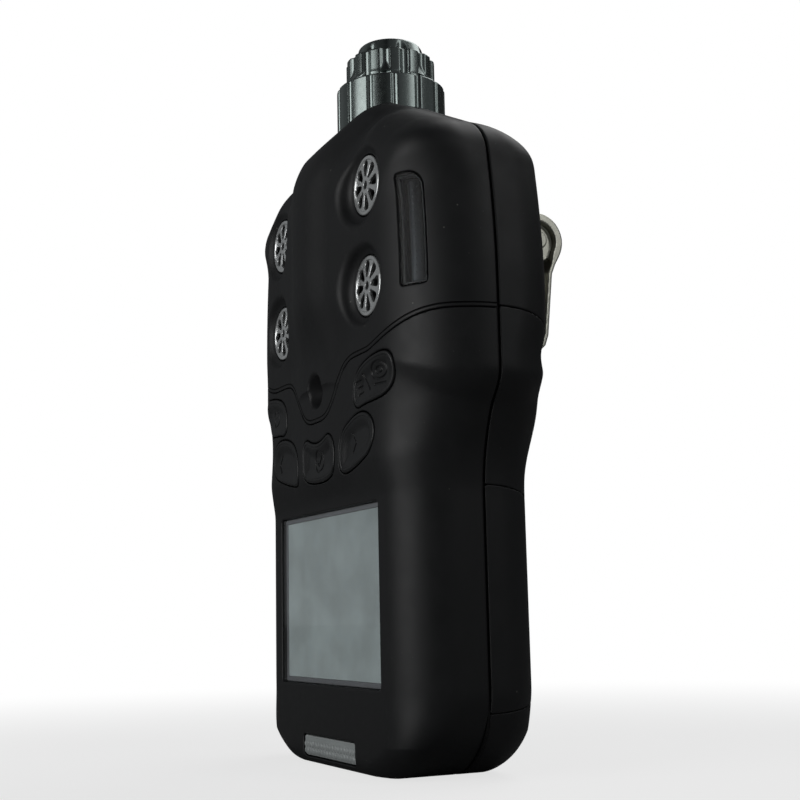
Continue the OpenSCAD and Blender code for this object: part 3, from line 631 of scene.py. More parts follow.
def add_mesh(name, points, quads, triangles, normals=None):
    mesh = bpy.data.meshes.new(name)
    used = np.zeros(len(points), bool)
    used[quads.ravel()] = True
    used[triangles.ravel()] = True
    number = np.cumsum(used) - 1
    points = points[used]
    corners = np.concatenate([number[quads].ravel(), number[triangles].ravel()])
    starts = np.concatenate([np.arange(len(quads)) * 4,
                             len(quads) * 4 + np.arange(len(triangles)) * 3])
    mesh.vertices.add(len(points))
    mesh.vertices.foreach_set("co", (points * MM).astype(np.float32).ravel())
    mesh.loops.add(len(corners))
    mesh.loops.foreach_set("vertex_index", corners.astype(np.int32))
    mesh.polygons.add(len(starts))
    mesh.polygons.foreach_set("loop_start", starts.astype(np.int32))
    mesh.polygons.foreach_set("use_smooth", np.ones(len(starts), bool))
    mesh.update(calc_edges=True)
    mesh.validate()
    if normals is not None:
        mesh.normals_split_custom_set_from_vertices(normals[used].astype(np.float32))
    return add_object(name, mesh)


def solid(name, field, lo, hi, cell, bends=(0.0002, 0.0009, 0.003), flat=0.02):
    """Meshes a field between lo and hi. bends limits how far normals may spread in each
    size of merged block, coarsest first; flat limits how far points may leave its plane."""
    lo = np.array(lo, float) - 1.5 * cell
    count = np.ceil((np.array(hi, float) + 1.5 * cell - lo) / cell).astype(int) + 1
    xs, ys, zs = [lo[i] + cell * np.arange(count[i]) for i in range(3)]
    values = np.empty(tuple(count), np.float32)
    slab = 48
    for a in range(0, count[0], slab):
        part = field(xs[a:a + slab, None, None], ys[None, :, None], zs[None, None, :])
        values[a:a + slab] = np.broadcast_to(part, values[a:a + slab].shape)
    points, quads, cells = surface_net(values, lo, cell)
    points = project(field, points, cell, 2)
    normals = surface_normals(field, points, cell)
    points, quads, triangles = simplify(points, normals, quads, cells, bends, flat)
    points = project(field, points, cell, 1)
    return add_mesh(name, points, quads, triangles, surface_normals(field, points, cell))


def dress(obj, material):
    obj.data.materials.clear()
    obj.data.materials.append(material)


def put(obj, rides_on, slot, material, *replaced):
    dress(obj, material)
    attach(obj, rides_on)
    if replaced:
        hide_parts(*replaced)


# ------------------------------------------------------------ shader helpers
class Shader:
    """A cleared node tree; any node input takes a socket, a number or a tuple."""

    def __init__(self, owner):
        owner.use_nodes = True
        self.tree = owner.node_tree
        self.tree.nodes.clear()

    def feed(self, node, inputs):
        for key, value in inputs.items():
            socket = node.inputs[key]
            if isinstance(value, bpy.types.NodeSocket):
                self.tree.links.new(value, socket)
            elif socket.type == "RGBA":
                socket.default_value = (*value, 1.0)
            else:
                socket.default_value = value

    def node(self, kind, inputs={}, **settings):
        node = self.tree.nodes.new("ShaderNode" + kind)
        for key, value in settings.items():
            setattr(node, key, value)
        self.feed(node, inputs)
        return node

    def out(self, kind, inputs={}, **settings):
        return self.node(kind, inputs, **settings).outputs[0]

    def coords(self):
        return self.node("TexCoord").outputs["Object"]

    def xyz(self, vector):
        return self.node("SeparateXYZ", {0: vector}).outputs

    def scaled_coords(self, vector, scale):
        return self.out("Mapping", {"Vector": vector, "Scale": scale})

    def noise(self, vector, scale, detail=3.0, rough=0.55):
        return self.node("TexNoise", {"Vector": vector, "Scale": scale, "Detail": detail,
                                      "Roughness": rough}).outputs["Fac"]

    def remap(self, value, span=(0.3, 0.7), to=(0.0, 1.0), smooth=False):
        return self.node(
            "MapRange",
            {"Value": value, "From Min": span[0], "From Max": span[1],
             "To Min": to[0], "To Max": to[1]},
            interpolation_type="SMOOTHSTEP" if smooth else "LINEAR").outputs["Result"]

    def mix(self, factor, a, b):
        # inputs 6 and 7 and output 2 are the colour sockets
        return self.node("Mix", {0: factor, 6: a, 7: b}, data_type="RGBA").outputs[2]

    def calc(self, operation, a, b=0.0):
        return self.out("Math", {0: a, 1: b}, operation=operation)

    def bump(self, height, strength, distance, under=None):
        inputs = {"Strength": strength, "Distance": distance, "Height": height}
        if under is not None:
            inputs["Normal"] = under
        return self.out("Bump", inputs)

    def blend(self, factor, a, b):
        return self.out("MixShader", {0: factor, 1: a, 2: b})

    def specks(self, vector, scale, radius, share):
        """Sparse round dots on the surface: 1 inside a dot, 0 outside."""
        cells = self.node("TexVoronoi", {"Vector": vector, "Scale": scale})
        dot = self.remap(cells.outputs["Distance"], span=(radius * 0.6, radius), to=(1.0, 0.0))
        red = self.out("SeparateColor", {0: cells.outputs["Color"]})
        return self.calc("MULTIPLY", dot, self.calc("LESS_THAN", red, share))


def principled(name):
    material = bpy.data.materials.new(name)
    shader = Shader(material)
    bsdf = shader.node("BsdfPrincipled")
    shader.node("OutputMaterial", {0: bsdf.outputs[0]})
    return material, shader, bsdf


def scaled(colour, factor):
    return tuple(min(v * factor, 1) for v in colour)


# ------------------------------------------------------------ materials
def seam_groove(shader, colour, normal, spec):
    """A dark groove that follows the front seam, just above it."""
    place = shader.xyz(shader.coords())
    calc = shader.calc
    across = calc("ABSOLUTE", place[0])
    euler = 2.718281828

    def height(shift):
        x = calc("MULTIPLY", calc("ADD", across, shift), 1000.0)
        share = calc("MAXIMUM", calc("MULTIPLY", x, 1 / DIP_HALF), 0.0)
        dip = calc("POWER", euler, calc("MULTIPLY", calc("POWER", share, DIP_POWER), -1.0))
        step = shader.remap(x, span=(STEP_X, STEP_X + STEP_SPAN), to=(0.0, STEP), smooth=True)
        return calc("ADD", calc("ADD", calc("MULTIPLY", dip, -DIP), SEAM_Z), step)

    # slope across 0.4 mm, so the distance is measured square to the seam
    slope = calc("MULTIPLY", calc("SUBTRACT", height(0.0002), height(-0.0002)), 2.5)
    stretch = calc("SQRT", calc("ADD", calc("MULTIPLY", slope, slope), 1.0))
    z = calc("MULTIPLY", place[2], 1000.0)
    above = calc("DIVIDE", calc("SUBTRACT", z, height(0.0)), stretch)
    groove_at = 0.84
    off = calc("ABSOLUTE", calc("SUBTRACT", above, groove_at))
    groove = shader.remap(off, span=(0.04, 0.2), smooth=True)
    # painted shade: the groove's colour is darkened towards black
    return (shader.mix(groove, (0.0012, 0.0012, 0.0013), colour),
            shader.bump(groove, strength=1.0, distance=0.00022, under=normal),
            shader.remap(groove, span=(0.0, 1.0), to=(0.08, spec)))


def rubber(name, tone, rough, spec, dust=1.0, seam=False):
    material, shader, bsdf = principled(name)
    place = shader.coords()
    cloud = shader.noise(place, scale=22.0, detail=4.0)
    mottle = shader.noise(place, scale=260.0, detail=4.0)
    grain = shader.noise(place, scale=3800.0, detail=2.0)
    colour = shader.mix(cloud, scaled(tone, 0.82), scaled(tone, 1.2))
    worn = shader.remap(mottle, span=(0.35, 0.7), to=(0.0, 0.35 * dust))
    colour = shader.mix(worn, colour, tuple(v * 1.5 + 0.002 for v in tone))
    large = shader.specks(place, scale=210.0, radius=0.045, share=0.5)
    colour = shader.mix(large, colour, (0.10 * dust, 0.10 * dust, 0.09 * dust))
    small = shader.specks(place, scale=520.0, radius=0.07, share=0.35)
    colour = shader.mix(small, colour, (0.035 * dust, 0.036 * dust, 0.036 * dust))
    roughness = shader.calc("ADD", shader.remap(mottle, to=(rough - 0.04, rough + 0.04)),
                            shader.remap(cloud, to=(-0.03, 0.03)))
    normal = shader.bump(mottle, strength=0.10, distance=0.00012)
    normal = shader.bump(grain, strength=0.25, distance=0.00003, under=normal)
    if seam:
        colour, normal, spec = seam_groove(shader, colour, normal, spec)
        bsdf.inputs["Specular IOR Level"].default_value = 0.42
    shader.feed(bsdf, {"Base Color": colour, "Roughness": roughness, "Normal": normal,
                       "Specular IOR Level": spec, "Coat Roughness": 0.3})
    return material


def metal(name, tone, rough, brushed=None, wear=0.06, spots=0.5, relief=0.12, metallic=1.0):
    material, shader, bsdf = principled(name)
    place = shader.coords()
    if brushed:
        streak = shader.noise(shader.scaled_coords(place, brushed), scale=60.0, detail=4.0)
    else:
        streak = shader.noise(place, scale=900.0, detail=4.0)
    colour = shader.mix(shader.noise(place, scale=140.0), scaled(tone, 0.9), tone)
    stain = shader.noise(place, scale=500.0, detail=5.0)
    stain = shader.remap(stain, span=(0.58, 0.75), to=(0.0, spots))
    shader.feed(bsdf, {
        "Base Color": shader.mix(stain, colour, scaled(tone, 0.6)),
        "Metallic": metallic,
        "Roughness": shader.remap(streak, to=(max(rough - wear, 0.03), rough + wear)),
        "Normal": shader.bump(streak, strength=relief, distance=0.00004)})
    return material


def plastic(name, rough, tone=None, mottled=0.15, spec=0.5, graded=None):
    """One mottled tone, or graded: z and colour where it starts, z and colour where it ends."""
    material, shader, bsdf = principled(name)
    place = shader.coords()
    fine = shader.noise(place, scale=1500.0)
    if graded:
        start_z, start_tone, end_z, end_tone = graded
        height = shader.xyz(shader.coords())[2]
        share = shader.calc("ADD", shader.remap(height, span=(start_z, end_z)),
                            shader.remap(shader.noise(shader.coords(), scale=700.0),
                                         to=(-0.03, 0.03)))
        colour = shader.mix(share, start_tone, end_tone)
    else:
        cloud = shader.noise(place, scale=60.0, detail=4.0)
        colour = shader.mix(cloud, scaled(tone, 1 - mottled), scaled(tone, 1 + mottled))
    shader.feed(bsdf, {
        "Base Color": colour,
        "Roughness": shader.remap(fine, to=(max(rough - 0.05, 0.02), rough + 0.05)),
        "Specular IOR Level": spec,
        "Normal": shader.bump(fine, strength=0.05, distance=0.00003)})
    return material


def clear(name, tint, rough, smear, ior=1.48, gloss=1.0):
    """A thin clear cover: mostly see-through, with a surface reflection and faint smears."""
    material = bpy.data.materials.new(name)
    shader = Shader(material)
    place = shader.coords()
    through = shader.out("BsdfTransparent", {0: tint})
    sheen = shader.remap(shader.noise(place, scale=180.0, detail=4.0),
                         to=(max(rough - 0.04, 0.01), rough + 0.05))
    glossy = shader.out("BsdfGlossy", {"Roughness": sheen})
    haze = shader.out("BsdfDiffuse", {0: (0.5, 0.5, 0.5)})
    smears = shader.remap(shader.noise(place, scale=90.0, detail=5.0),
                          span=(0.4, 0.75), to=(smear * 0.4, smear))
    inner = shader.blend(smears, through, haze)
    back = shader.node("NewGeometry").outputs["Backfacing"]
    front = shader.calc("MULTIPLY", shader.calc("SUBTRACT", 1.0, back), gloss)
    mirror = shader.calc("MULTIPLY", shader.out("Fresnel", {0: ior}), front)
    shader.node("OutputMaterial", {0: shader.blend(mirror, inner, glossy)})
    return material


def lcd(name, tone):
    material, shader, bsdf = principled(name)
    place = shader.coords()
    cloud = shader.noise(place, scale=75.0, detail=5.0, rough=0.6)
    cloud = shader.remap(cloud, span=(0.3, 0.72), smooth=True)
    colour = shader.mix(cloud, scaled(tone, 0.86), scaled(tone, 1.13))
    fleck = shader.remap(shader.noise(place, scale=420.0), span=(0.5, 0.75), to=(0.0, 0.35))
    colour = shader.mix(fleck, colour, (tone[0] * 0.96, tone[1], tone[2] * 1.06))
    # dot rows of the blank panel, barely there
    dots = shader.node("TexChecker", {"Vector": shader.scaled_coords(place, (1600.0,) * 3),
                                      "Scale": 1.0}).outputs["Fac"]
    colour = shader.mix(shader.calc("MULTIPLY", dots, 0.05), colour, scaled(tone, 0.7))
    spot = shader.xyz(place)
    # painted shade: darker towards the top and the right
    shade = shader.calc("ADD", shader.remap(spot[2], span=(0.020, 0.050), to=(0.0, 0.13)),
                        shader.remap(spot[0], span=(-0.022, 0.022), to=(0.0, 0.10)))
    shader.feed(bsdf, {"Base Color": shader.mix(shade, colour, (0.12, 0.15, 0.17)),
                       "Roughness": 0.42, "Specular IOR Level": 0.35})
    return material


CASE_TONE = (0.0072, 0.0078, 0.0086)
CASE = rubber("case_rubber", CASE_TONE, rough=0.50, spec=0.42)
UPPER_CASE = rubber("case_rubber_upper", CASE_TONE, rough=0.50, spec=0.42, seam=True)
KEY = rubber("key_rubber", (0.0080, 0.0087, 0.0095), rough=0.42, spec=0.5, dust=0.6)
SEAL = rubber("seal_black", (0.004, 0.004, 0.0045), rough=0.6, spec=0.3, dust=0.0)
TORCH = metal("torch_plating", (0.26, 0.30, 0.29), rough=0.25, wear=0.03, spots=0.15,
              relief=0.015)
GRILLE = metal("grille_plating", (0.88, 0.90, 0.90), rough=0.24, wear=0.05, spots=0.15,
               relief=0.015, metallic=0.8)
STEEL = metal("clip_steel", (0.56, 0.56, 0.49), rough=0.30, brushed=(1.0, 12.0, 12.0),
              wear=0.03, spots=0.1, relief=0.05)
SCREW = metal("screw_steel", (0.22, 0.22, 0.22), rough=0.35)
GOLD = metal("contact_gold", (0.80, 0.58, 0.26), rough=0.25)
LCD = lcd("lcd_grey", (0.74, 0.83, 0.83))
BORDER = plastic("lcd_border", tone=(0.22, 0.225, 0.245), rough=0.35)
GLASS = clear("window_glass", (0.96, 0.97, 0.97), rough=0.05, smear=0.05)
SMOKED = clear("alarm_cover", (0.72, 0.74, 0.75), rough=0.08, smear=0.008, ior=1.34, gloss=0.4)
TRAY = plastic("alarm_tray", tone=(0.008, 0.0085, 0.0095), rough=0.5, spec=0.2)
# painted shade: the rod's colour runs from near black at the top to grey at the bottom
ROD = plastic("alarm_rod", rough=0.32,
              graded=(0.115, (0.006, 0.0065, 0.007), 0.093, (0.24, 0.245, 0.26)))
INNER = plastic("alarm_inner", tone=(0.06, 0.063, 0.067), rough=0.3)
DOTS = plastic("alarm_dots", tone=(0.22, 0.225, 0.235), rough=0.2)
CHIN = plastic("status_lens", tone=(0.40, 0.43, 0.43), rough=0.22, mottled=0.2)
# painted shade: the filter membranes are coloured near black for their shaded place behind the
# grilles
SHADED_MEMBRANE = rubber("sensor_membrane_painted_shade", (0.012, 0.012, 0.012), rough=0.75, spec=0.2)
TORCH_GLASS = clear("torch_glass", (0.95, 0.97, 0.97), rough=0.03, smear=0.02)

# ------------------------------------------------------------ covers
# name, field, material, piece replaced, low corner, high corner, cell
COVERS = [
    ("case_front_upper", front_upper, UPPER_CASE, "front_upper_cover",
     (-HALF_X, -21.6, 71), (HALF_X, -0.2, TOP_Z), CELL),
    ("case_front_lower", front_lower, CASE, "front_lower_cover",
     (-HALF_X, -18.4, LOW_Z), (HALF_X, -0.2, 88.2), CELL),
    ("case_rear_upper", rear_upper, CASE, "rear_upper_cover",
     (-HALF_X, 0.2, 84.4), (HALF_X, 18.9, TOP_Z), REAR_CELL),
    ("case_rear_lower", rear_lower, CASE, "rear_lower_cover",
     (-HALF_X, 0.2, LOW_Z), (HALF_X, 14.8, 88.2), REAR_CELL),
    ("case_battery_cover", battery_cover, CASE, "battery_cover",
     (-39.8, 0.2, 12.0), (39.8, 13.4, 55.0), REAR_CELL)]
for name, field, material, replaced, lo, hi, cell in COVERS:
    put(solid(name, field, lo, hi, cell), "case", "case_rubber", material, replaced)


# ------------------------------------------------------------ keys
def strokes(x, z, lines):
    return either(*[segment(x, z, start, end) for start, end in lines])


def ring(x, z, middle, radius):
    return np.abs(np.sqrt((x - middle[0]) ** 2 + (z - middle[1]) ** 2) - radius)


TORCH_STROKES = [
    ((22.9, 78.0), (25.9, 74.5)), ((27.6, 75.2), (31.6, 75.1)), ((20.2, 76.6), (21.9, 76.9)),
    ((20.6, 75.4), (22.3, 75.7)), ((21.0, 74.1), (22.7, 74.4))]


def torch_mark(x, z):
    middle = (29.3, 77.8)
    narrow = 29.3 + (x - 29.3) * 0.62
    return either(ring(narrow, z, middle, 1.68), ring(narrow, z, middle, 0.6),
                  strokes(x, z, TORCH_STROKES))


def power_mark(x, z):
    middle = (-26.9, 76.3)
    gap = (np.abs(x - middle[0]) < 0.9) & (z > middle[1])
    arc = np.where(gap, 2.0, ring(x, z, middle, 1.9))
    return either(arc, segment(x, z, (middle[0], 76.5), (middle[0], 78.8)))


def chevron(tip_x, tip_z, side):
    ends = [(tip_x - side * 1.6, tip_z + rise_z) for rise_z in (1.9, -1.9)]
    return lambda x, z: strokes(x, z, [((tip_x, tip_z), end) for end in ends])


def ok_mark(x, z):
    tick = strokes(x, z, [((-0.5, 63.2), (0.3, 62.3)), ((0.3, 62.3), (1.8, 64.2))])
    return either(ring(x, z, (0.6, 63.2), 2.2), tick)


def key_field(table, side, mark):
    """A dished key cap with its mark standing proud as sunken strokes do from below."""
    def field(x, y, z):
        outline = table(x * side, z)
        top = body(x, y, z) - 0.10 + 0.55 * rise(-outline, 0.75, 2.6)
        top = top + 0.10 * rise(-outline, 0.62, 0.16)
        top = top + 0.22 * (1 - rise(mark(x, z), 0.10, 0.16))
        return np.maximum(round_max(outline, top, 0.32), y + 14.6)
    field.__doc__ = None
    return field


# name, outline, side of the outline, mark, x limits, z limits
KEYS = [
    ("torch", TORCH_KEY, 1, torch_mark, (17.4, 37.2), (71.2, 82.2)),
    ("power", TORCH_KEY, -1, power_mark, (-37.2, -17.4), (71.2, 82.2)),
    ("right", RIGHT_KEY, 1, chevron(18.6, 65.0, 1), (11, 28.4), (58.8, 71.2)),
    ("left", RIGHT_KEY, -1, chevron(-24.4, 65.2, -1), (-28.4, -11), (58.8, 71.2)),
    ("ok", OK_KEY, 1, ok_mark, (-8.8, 9.8), (58.2, 68.9))]
for name, table, side, mark, (x0, x1), (z0, z1) in KEYS:
    cap = solid("cap_" + name, key_field(table, side, mark), (x0, -19, z0), (x1, -14.5, z1),
                KEY_CELL, bends=(0.0004, 0.0015), flat=0.008)
    put(cap, "key_" + name, "keypad", KEY, "key_" + name)


# ------------------------------------------------------------ grilles
def sector_angle(angle, count, phase=0.0):
    """Angle from the middle of the nearest of count equal sectors."""
    width = 2 * np.pi / count
    return np.mod(angle - phase + width / 2, width) - width / 2


def grille(x, y, z):
    """A low domed disc with eight tapered slots and a centre hole."""
    radius = np.sqrt(x * x + z * z)
    dome = 0.32 * (1 - (np.minimum(radius, 6.0) / 6.0) ** 2) + 0.22 * rise(radius, 5.15, 0.25)
    plate = round_max(radius - 6.12, -y - 16.25 - dome, 0.22)
    angle = sector_angle(np.arctan2(z, x), 8)
    along, beside = radius * np.cos(angle), radius * np.sin(angle)
    t = np.clip((along - 2.3) / 1.85, 0, 1)
    slot = np.sqrt((along - 2.3 - 1.85 * t) ** 2 + beside * beside) - (0.50 + 0.58 * t)
    plate = carve(plate, slot, 0.12)
    plate = soft_max(plate, 0.85 - radius, 0.12)
    return np.maximum(plate, y + 15.8)


GRILLES = {row + "_" + hand: (side * SENSOR_X, z)
           for hand, side in (("right", 1), ("left", -1))
           for row, z in (("top", SENSOR_HIGH), ("bottom", SENSOR_LOW))}
plates = {"top_right": solid("grille_plate_top_right", grille, (-6.3, -17.1, -6.3),
                             (6.3, -15.3, 6.3), GRILLE_CELL, bends=(0.0004, 0.0015),
                             flat=0.006)}
for place in list(GRILLES)[1:]:
    plates[place] = add_object("grille_plate_" + place, plates["top_right"].data.copy())
for place, (x, z) in GRILLES.items():
    plates[place].location = (x * MM, 0, z * MM)
    put(plates[place], "case", "grille_chrome", GRILLE, "grille_" + place)
    # the filters take the painted-shade membrane colour
    dress(NODES["filter_" + place], SHADED_MEMBRANE)


# ------------------------------------------------------------ alarm windows
def alarm_cover(x, y, z):
    skin = body(x, y, z)
    cover = round_max(window(x, y, z) + 0.07, skin + 0.1, 0.14)
    return both(cover, -(skin + 1.05), -x)


def alarm_tray(x, y, z):
    skin, outline = body(x, y, z), window(x, y, z)
    tray = both(outline - 0.6, skin + 2.5, -(skin + 3.6))
    # a rim round the tray stands up to the cover
    rim = both(outline - 0.02, -(outline + 0.42), skin + 1.15, -(skin + 3.0))
    return np.maximum(soft_min(tray, rim, 0.2), -x)


def alarm_rod(x, y, z):
    rod = np.sqrt((window_u(x, y, z) + 0.05) ** 2 + (body(x, y, z) + 2.65) ** 2) - 1.5
    return np.maximum(round_max(rod, np.abs(z - 103.8) - 10.5, 0.8), -x)


def alarm_frame(x, y, z):
    outline, skin = window(x, y, z), body(x, y, z)
    frame = round_max(both(outline + 0.5, -(outline + 0.82)), skin + 0.75, 0.1)
    return both(frame, -(skin + 1.9), -x)


def window_point(u, depth, z):
    """The point of the right window at u across and z up where the body field is depth."""
    lean = WIDEST - float(half_width(z))
    lo, hi = -4.0, 8.0
    for _ in range(30):
        inward = (lo + hi) / 2
        x = u * WINDOW_COS - inward * WINDOW_SIN + WINDOW_X - lean * WINDOW_LEAN
        y = u * WINDOW_SIN + inward * WINDOW_COS - WINDOW_Y
        value = float(body(np.full(1, x), np.full(1, y), np.full(1, z))[0])
        lo, hi = (inward, hi) if value > depth else (lo, inward)
    return x, y, z


def from_bmesh(name, bm, smooth=False):
    mesh = bpy.data.meshes.new(name)
    bm.to_mesh(mesh)
    bm.free()
    if smooth:
        mesh.polygons.foreach_set("use_smooth", np.ones(len(mesh.polygons), bool))
    return add_object(name, mesh)


def dots(name, points, radius):
    bm = bmesh.new()
    for point in points:
        made = bmesh.ops.create_icosphere(bm, subdivisions=2, radius=radius)
        for v in made["verts"]:
            v.co = (v.co + Vector(point)) * MM
    return from_bmesh(name, bm, smooth=True)


def alarm_piece(name, field, side, cell, **merging):
    x0, x1 = (30, 47) if side > 0 else (-47, -30)
    return solid(name, lambda x, y, z: field(x * side, y, z), (x0, -20, 92), (x1, -4, 116),
                 cell, **merging)


# two staggered columns of dots, the second deeper and higher
dot_points = [window_point(u, -1.2 - 0.33 * j, z + 0.7 * j)
              for j, u in enumerate((0.1, 0.95)) for z in np.arange(95.2, 112.6, 1.4)]
FINE = {"bends": (0.0006, 0.002), "flat": 0.01}
for side, hand in ((1, "right"), (-1, "left")):
    put(alarm_piece("alarm_cover_" + hand, alarm_cover, side, ALARM_CELL * 0.85,
                    bends=(0.002,)), "case", "smoked", SMOKED, "alarm_window_" + hand)
    put(alarm_piece("alarm_tray_" + hand, alarm_tray, side, ALARM_CELL * 1.3),
        "case", "smoked", TRAY)
    put(alarm_piece("alarm_rod_" + hand, alarm_rod, side, ALARM_CELL * 0.75, **FINE),
        "case", "led", ROD, "alarm_led_" + hand)
    put(dots("alarm_dots_" + hand, [(side * x, y, z) for x, y, z in dot_points], 0.2),
        "case", "led", DOTS)
    put(alarm_piece("alarm_frame_" + hand, alarm_frame, side, ALARM_CELL, **FINE),
        "case", "smoked", INNER)


# ------------------------------------------------------------ chin lens and screen
def chin_lens(x, y, z):
    """Two rows of small domes with fine ribs above them."""
    skin = body(x, y, z, bulge=False) + 0.12
    row = np.minimum(np.abs(z - 4.15), np.abs(z - 2.75))
    column = np.abs(np.mod(x + 0.75, 1.5) - 0.75)
    dot = np.sqrt(column ** 2 + row ** 2)
    skin = skin - 0.22 * np.sqrt(np.maximum(1 - (dot / 0.62) ** 2, 0)) + 0.22
    skin = skin + 0.05 * np.cos(2 * np.pi * x / 0.5) * rise(z, 4.6, 0.4)
    return np.maximum(round_max(chin_outline(x, z) + 0.12, skin, 0.15), y + 13.7)


def block(name, lo, hi, bevel):
    bm = bmesh.new()
    bmesh.ops.create_cube(bm, size=1.0)
    for v in bm.verts:
        v.co = Vector([(lo[i] + hi[i]) / 2 + v.co[i] * (hi[i] - lo[i]) for i in range(3)]) * MM
    bmesh.ops.bevel(bm, geom=bm.edges[:], offset=bevel * MM, segments=3, profile=0.5,
                    affect="EDGES")
    return from_bmesh(name, bm)


def screen_border(x, y, z):
    outer = rounded_rect(x, z - SCREEN_Z, 26.1, 17.9, 0.6)
    opening = rounded_rect(x, z - 34.75, 25.05, 16.9, 0.3)
    return round_max(cut(outer, opening), both(-15.24 - y, y + 13.3), 0.1)


put(solid("chin_lens", chin_lens, (-13.6, -16.6, 1.5), (13.6, -13.5, 6.3), CHIN_CELL, **FINE),
    "case", "ribbed_lens", CHIN, "status_lens")
put(block("screen_glass", (-26.05, -15.88, 16.85), (26.05, -15.3, 52.55), bevel=0.12),
    "case", "window", GLASS, "display_window")
put(block("screen_lcd", (-25.0, -15.1, 17.9), (25.0, -13.4, 51.6), bevel=0.08),
    "case", "lcd", LCD, "lcd_panel")
put(solid("screen_border", screen_border, (-26.3, -15.4, 16.6), (26.3, -13.2, 52.8),
          BORDER_CELL, bends=(0.0002, 0.0006, 0.002)),
    "case", "frame_plastic", BORDER, "display_frame")


# ------------------------------------------------------------ torch
def torch_bezel(x, y, z):
    """Three fluted tiers, narrowing upwards, bored through."""
    y = y - TORCH_Y
    radius = np.sqrt(x * x + y * y)
    angle = np.arctan2(y, x)

    def flutes(count, phase, ring_r, flute_r):
        turn = sector_angle(angle, count, math.radians(phase))
        along, beside = radius * np.cos(turn) - ring_r, radius * np.sin(turn)
        return length(along, beside) - flute_r

    base = round_max(radius - 12.3, z - 148.7, 0.45)
    base = carve(base, flutes(14, 3.8, 12.62, 0.74), 0.25)
    middle = round_max(radius - 10.1, z - 155.6, 0.4)
    middle = carve(middle, both(flutes(14, 19.2, 10.75, 1.32), 149.5 - z), 0.3)
    crown = round_max((radius - 8.25 + (z - 155.6) * 0.33) * 0.95, z - 159.1, 0.6)
    crown = carve(crown, flutes(7, 45.6, 8.75, 1.5), 0.3)
    bezel = soft_min(np.maximum(base, 138 - z), np.maximum(middle, 140 - z), 0.25)
    bezel = soft_min(bezel, np.maximum(crown, 150 - z), 0.25)
    bezel = cut(bezel, both(radius - 9.0, z - 149))
    bezel = cut(bezel, both(radius - 7.4, z - 156))
    mouth = radius - 5.6 - np.maximum(z - 157.6, 0) * 0.6
    return carve(bezel, both(mouth, 140 - z), 0.3)


put(solid("torch_bezel_ring", torch_bezel, (-12.5, -11.4, 137.8), (12.5, 13.6, 159.3),
          TORCH_CELL, bends=(0.0005, 0.0015), flat=0.008),
    "case", "dark_chrome", TORCH, "torch_bezel")
dress(NODES["torch_lens"], TORCH_GLASS)

# ------------------------------------------------------------ belt clip
# the lever's sheet in section, y and z: round the pin, then down to the case
LEVER_PATH = [(PIN_Y + 5.2 * math.cos(math.radians(t)), PIN_Z + 5.2 * math.sin(math.radians(t)))
              for t in range(122, -27, -6)]
LEVER_PATH += [(PIN_Y + 4.0, 109.2), (PIN_Y + 2.6, 105.8), (PIN_Y + 1.0, 91.6),
               (PIN_Y + 0.2, 89.4), (PAD_Y + 3.2, 81.6), (PAD_Y + 3.0, 80.2),
               (PAD_Y + 4.2, 78.2)]


def add_teeth(sheet, x, y, z, tooth_z, out, half_y):
    """Six square teeth in a row across the clip, out from the pad."""
    for i in range(6):
        tooth = both(np.abs(x - (-10 + 4 * i)) - 0.75, np.abs(z - tooth_z) - 0.75,
                     np.abs(y - PAD_Y - out) - half_y)
        sheet = np.minimum(sheet, tooth)
    return sheet


def clip_lever(x, y, z):
    path = strokes(y, z, zip(LEVER_PATH[:-1], LEVER_PATH[1:]))
    path = path - 0.52 - 0.42 * rise(z, 107.5, 3.5)
    lever = round_max(path, np.abs(x) - 14.45, 0.25)
    ribs = both(np.abs(np.abs(x) - 6.5) - 0.7, np.abs(z - 98) - 5.5)
    lever = soft_min(lever, both(ribs, path - 0.35), 0.5)
    radius = length(y - PIN_Y, z - PIN_Z)
    cheeks = both(radius - 4.9, PIN_Y - 2.4 - y)
    cheeks = round_max(cheeks, np.abs(np.abs(x) - 12.4) - 0.5, 0.15)
    lever = np.maximum(soft_min(lever, cheeks, 0.3), PIN_BORE - radius)
    return add_teeth(lever, x, y, z, tooth_z=81.0, out=2.7, half_y=0.5)


def clip_base(x, y, z):
    plate = round_max(rounded_rect(x, z - 99, 13.8, 20, 1.5), np.abs(y - PAD_Y - 0.6) - 0.6, 0.15)
    web = both((z - 116.9) + (y - PAD_Y) * 0.186,
               (PIN_Z - 3.1 - (PIN_Y - y) * 0.78 - z) * 0.788, y - PIN_Y)
    radius = length(y - PIN_Y, z - PIN_Z)
    ears = either(both(web, PAD_Y + 0.3 - y), radius - 3.1)
    ears = round_max(ears, np.abs(np.abs(x) - 10.9) - 0.5, 0.12)
    plate = np.maximum(soft_min(plate, ears, 0.4), PIN_BORE - radius)
    plate = add_teeth(plate, x, y, z, tooth_z=80.0, out=1.2, half_y=0.45)
    for screw_z in CLIP_SCREW_Z:
        plate = np.maximum(plate, 1.6 - length(x, z - screw_z))
    return carve(plate, rounded_rect(x, z - 88.5, 6.5, 3.0, 1.0), 0.2)


def clip_pin(x, y, z):
    radius = length(y - PIN_Y, z - PIN_Z)
    rod = round_max(radius - 1.24, np.abs(x) - 14.0, 0.2)
    heads = round_max(radius - 2.1, np.abs(np.abs(x) - 14.0) - 0.42, 0.3)
    return soft_min(rod, heads, 0.1)


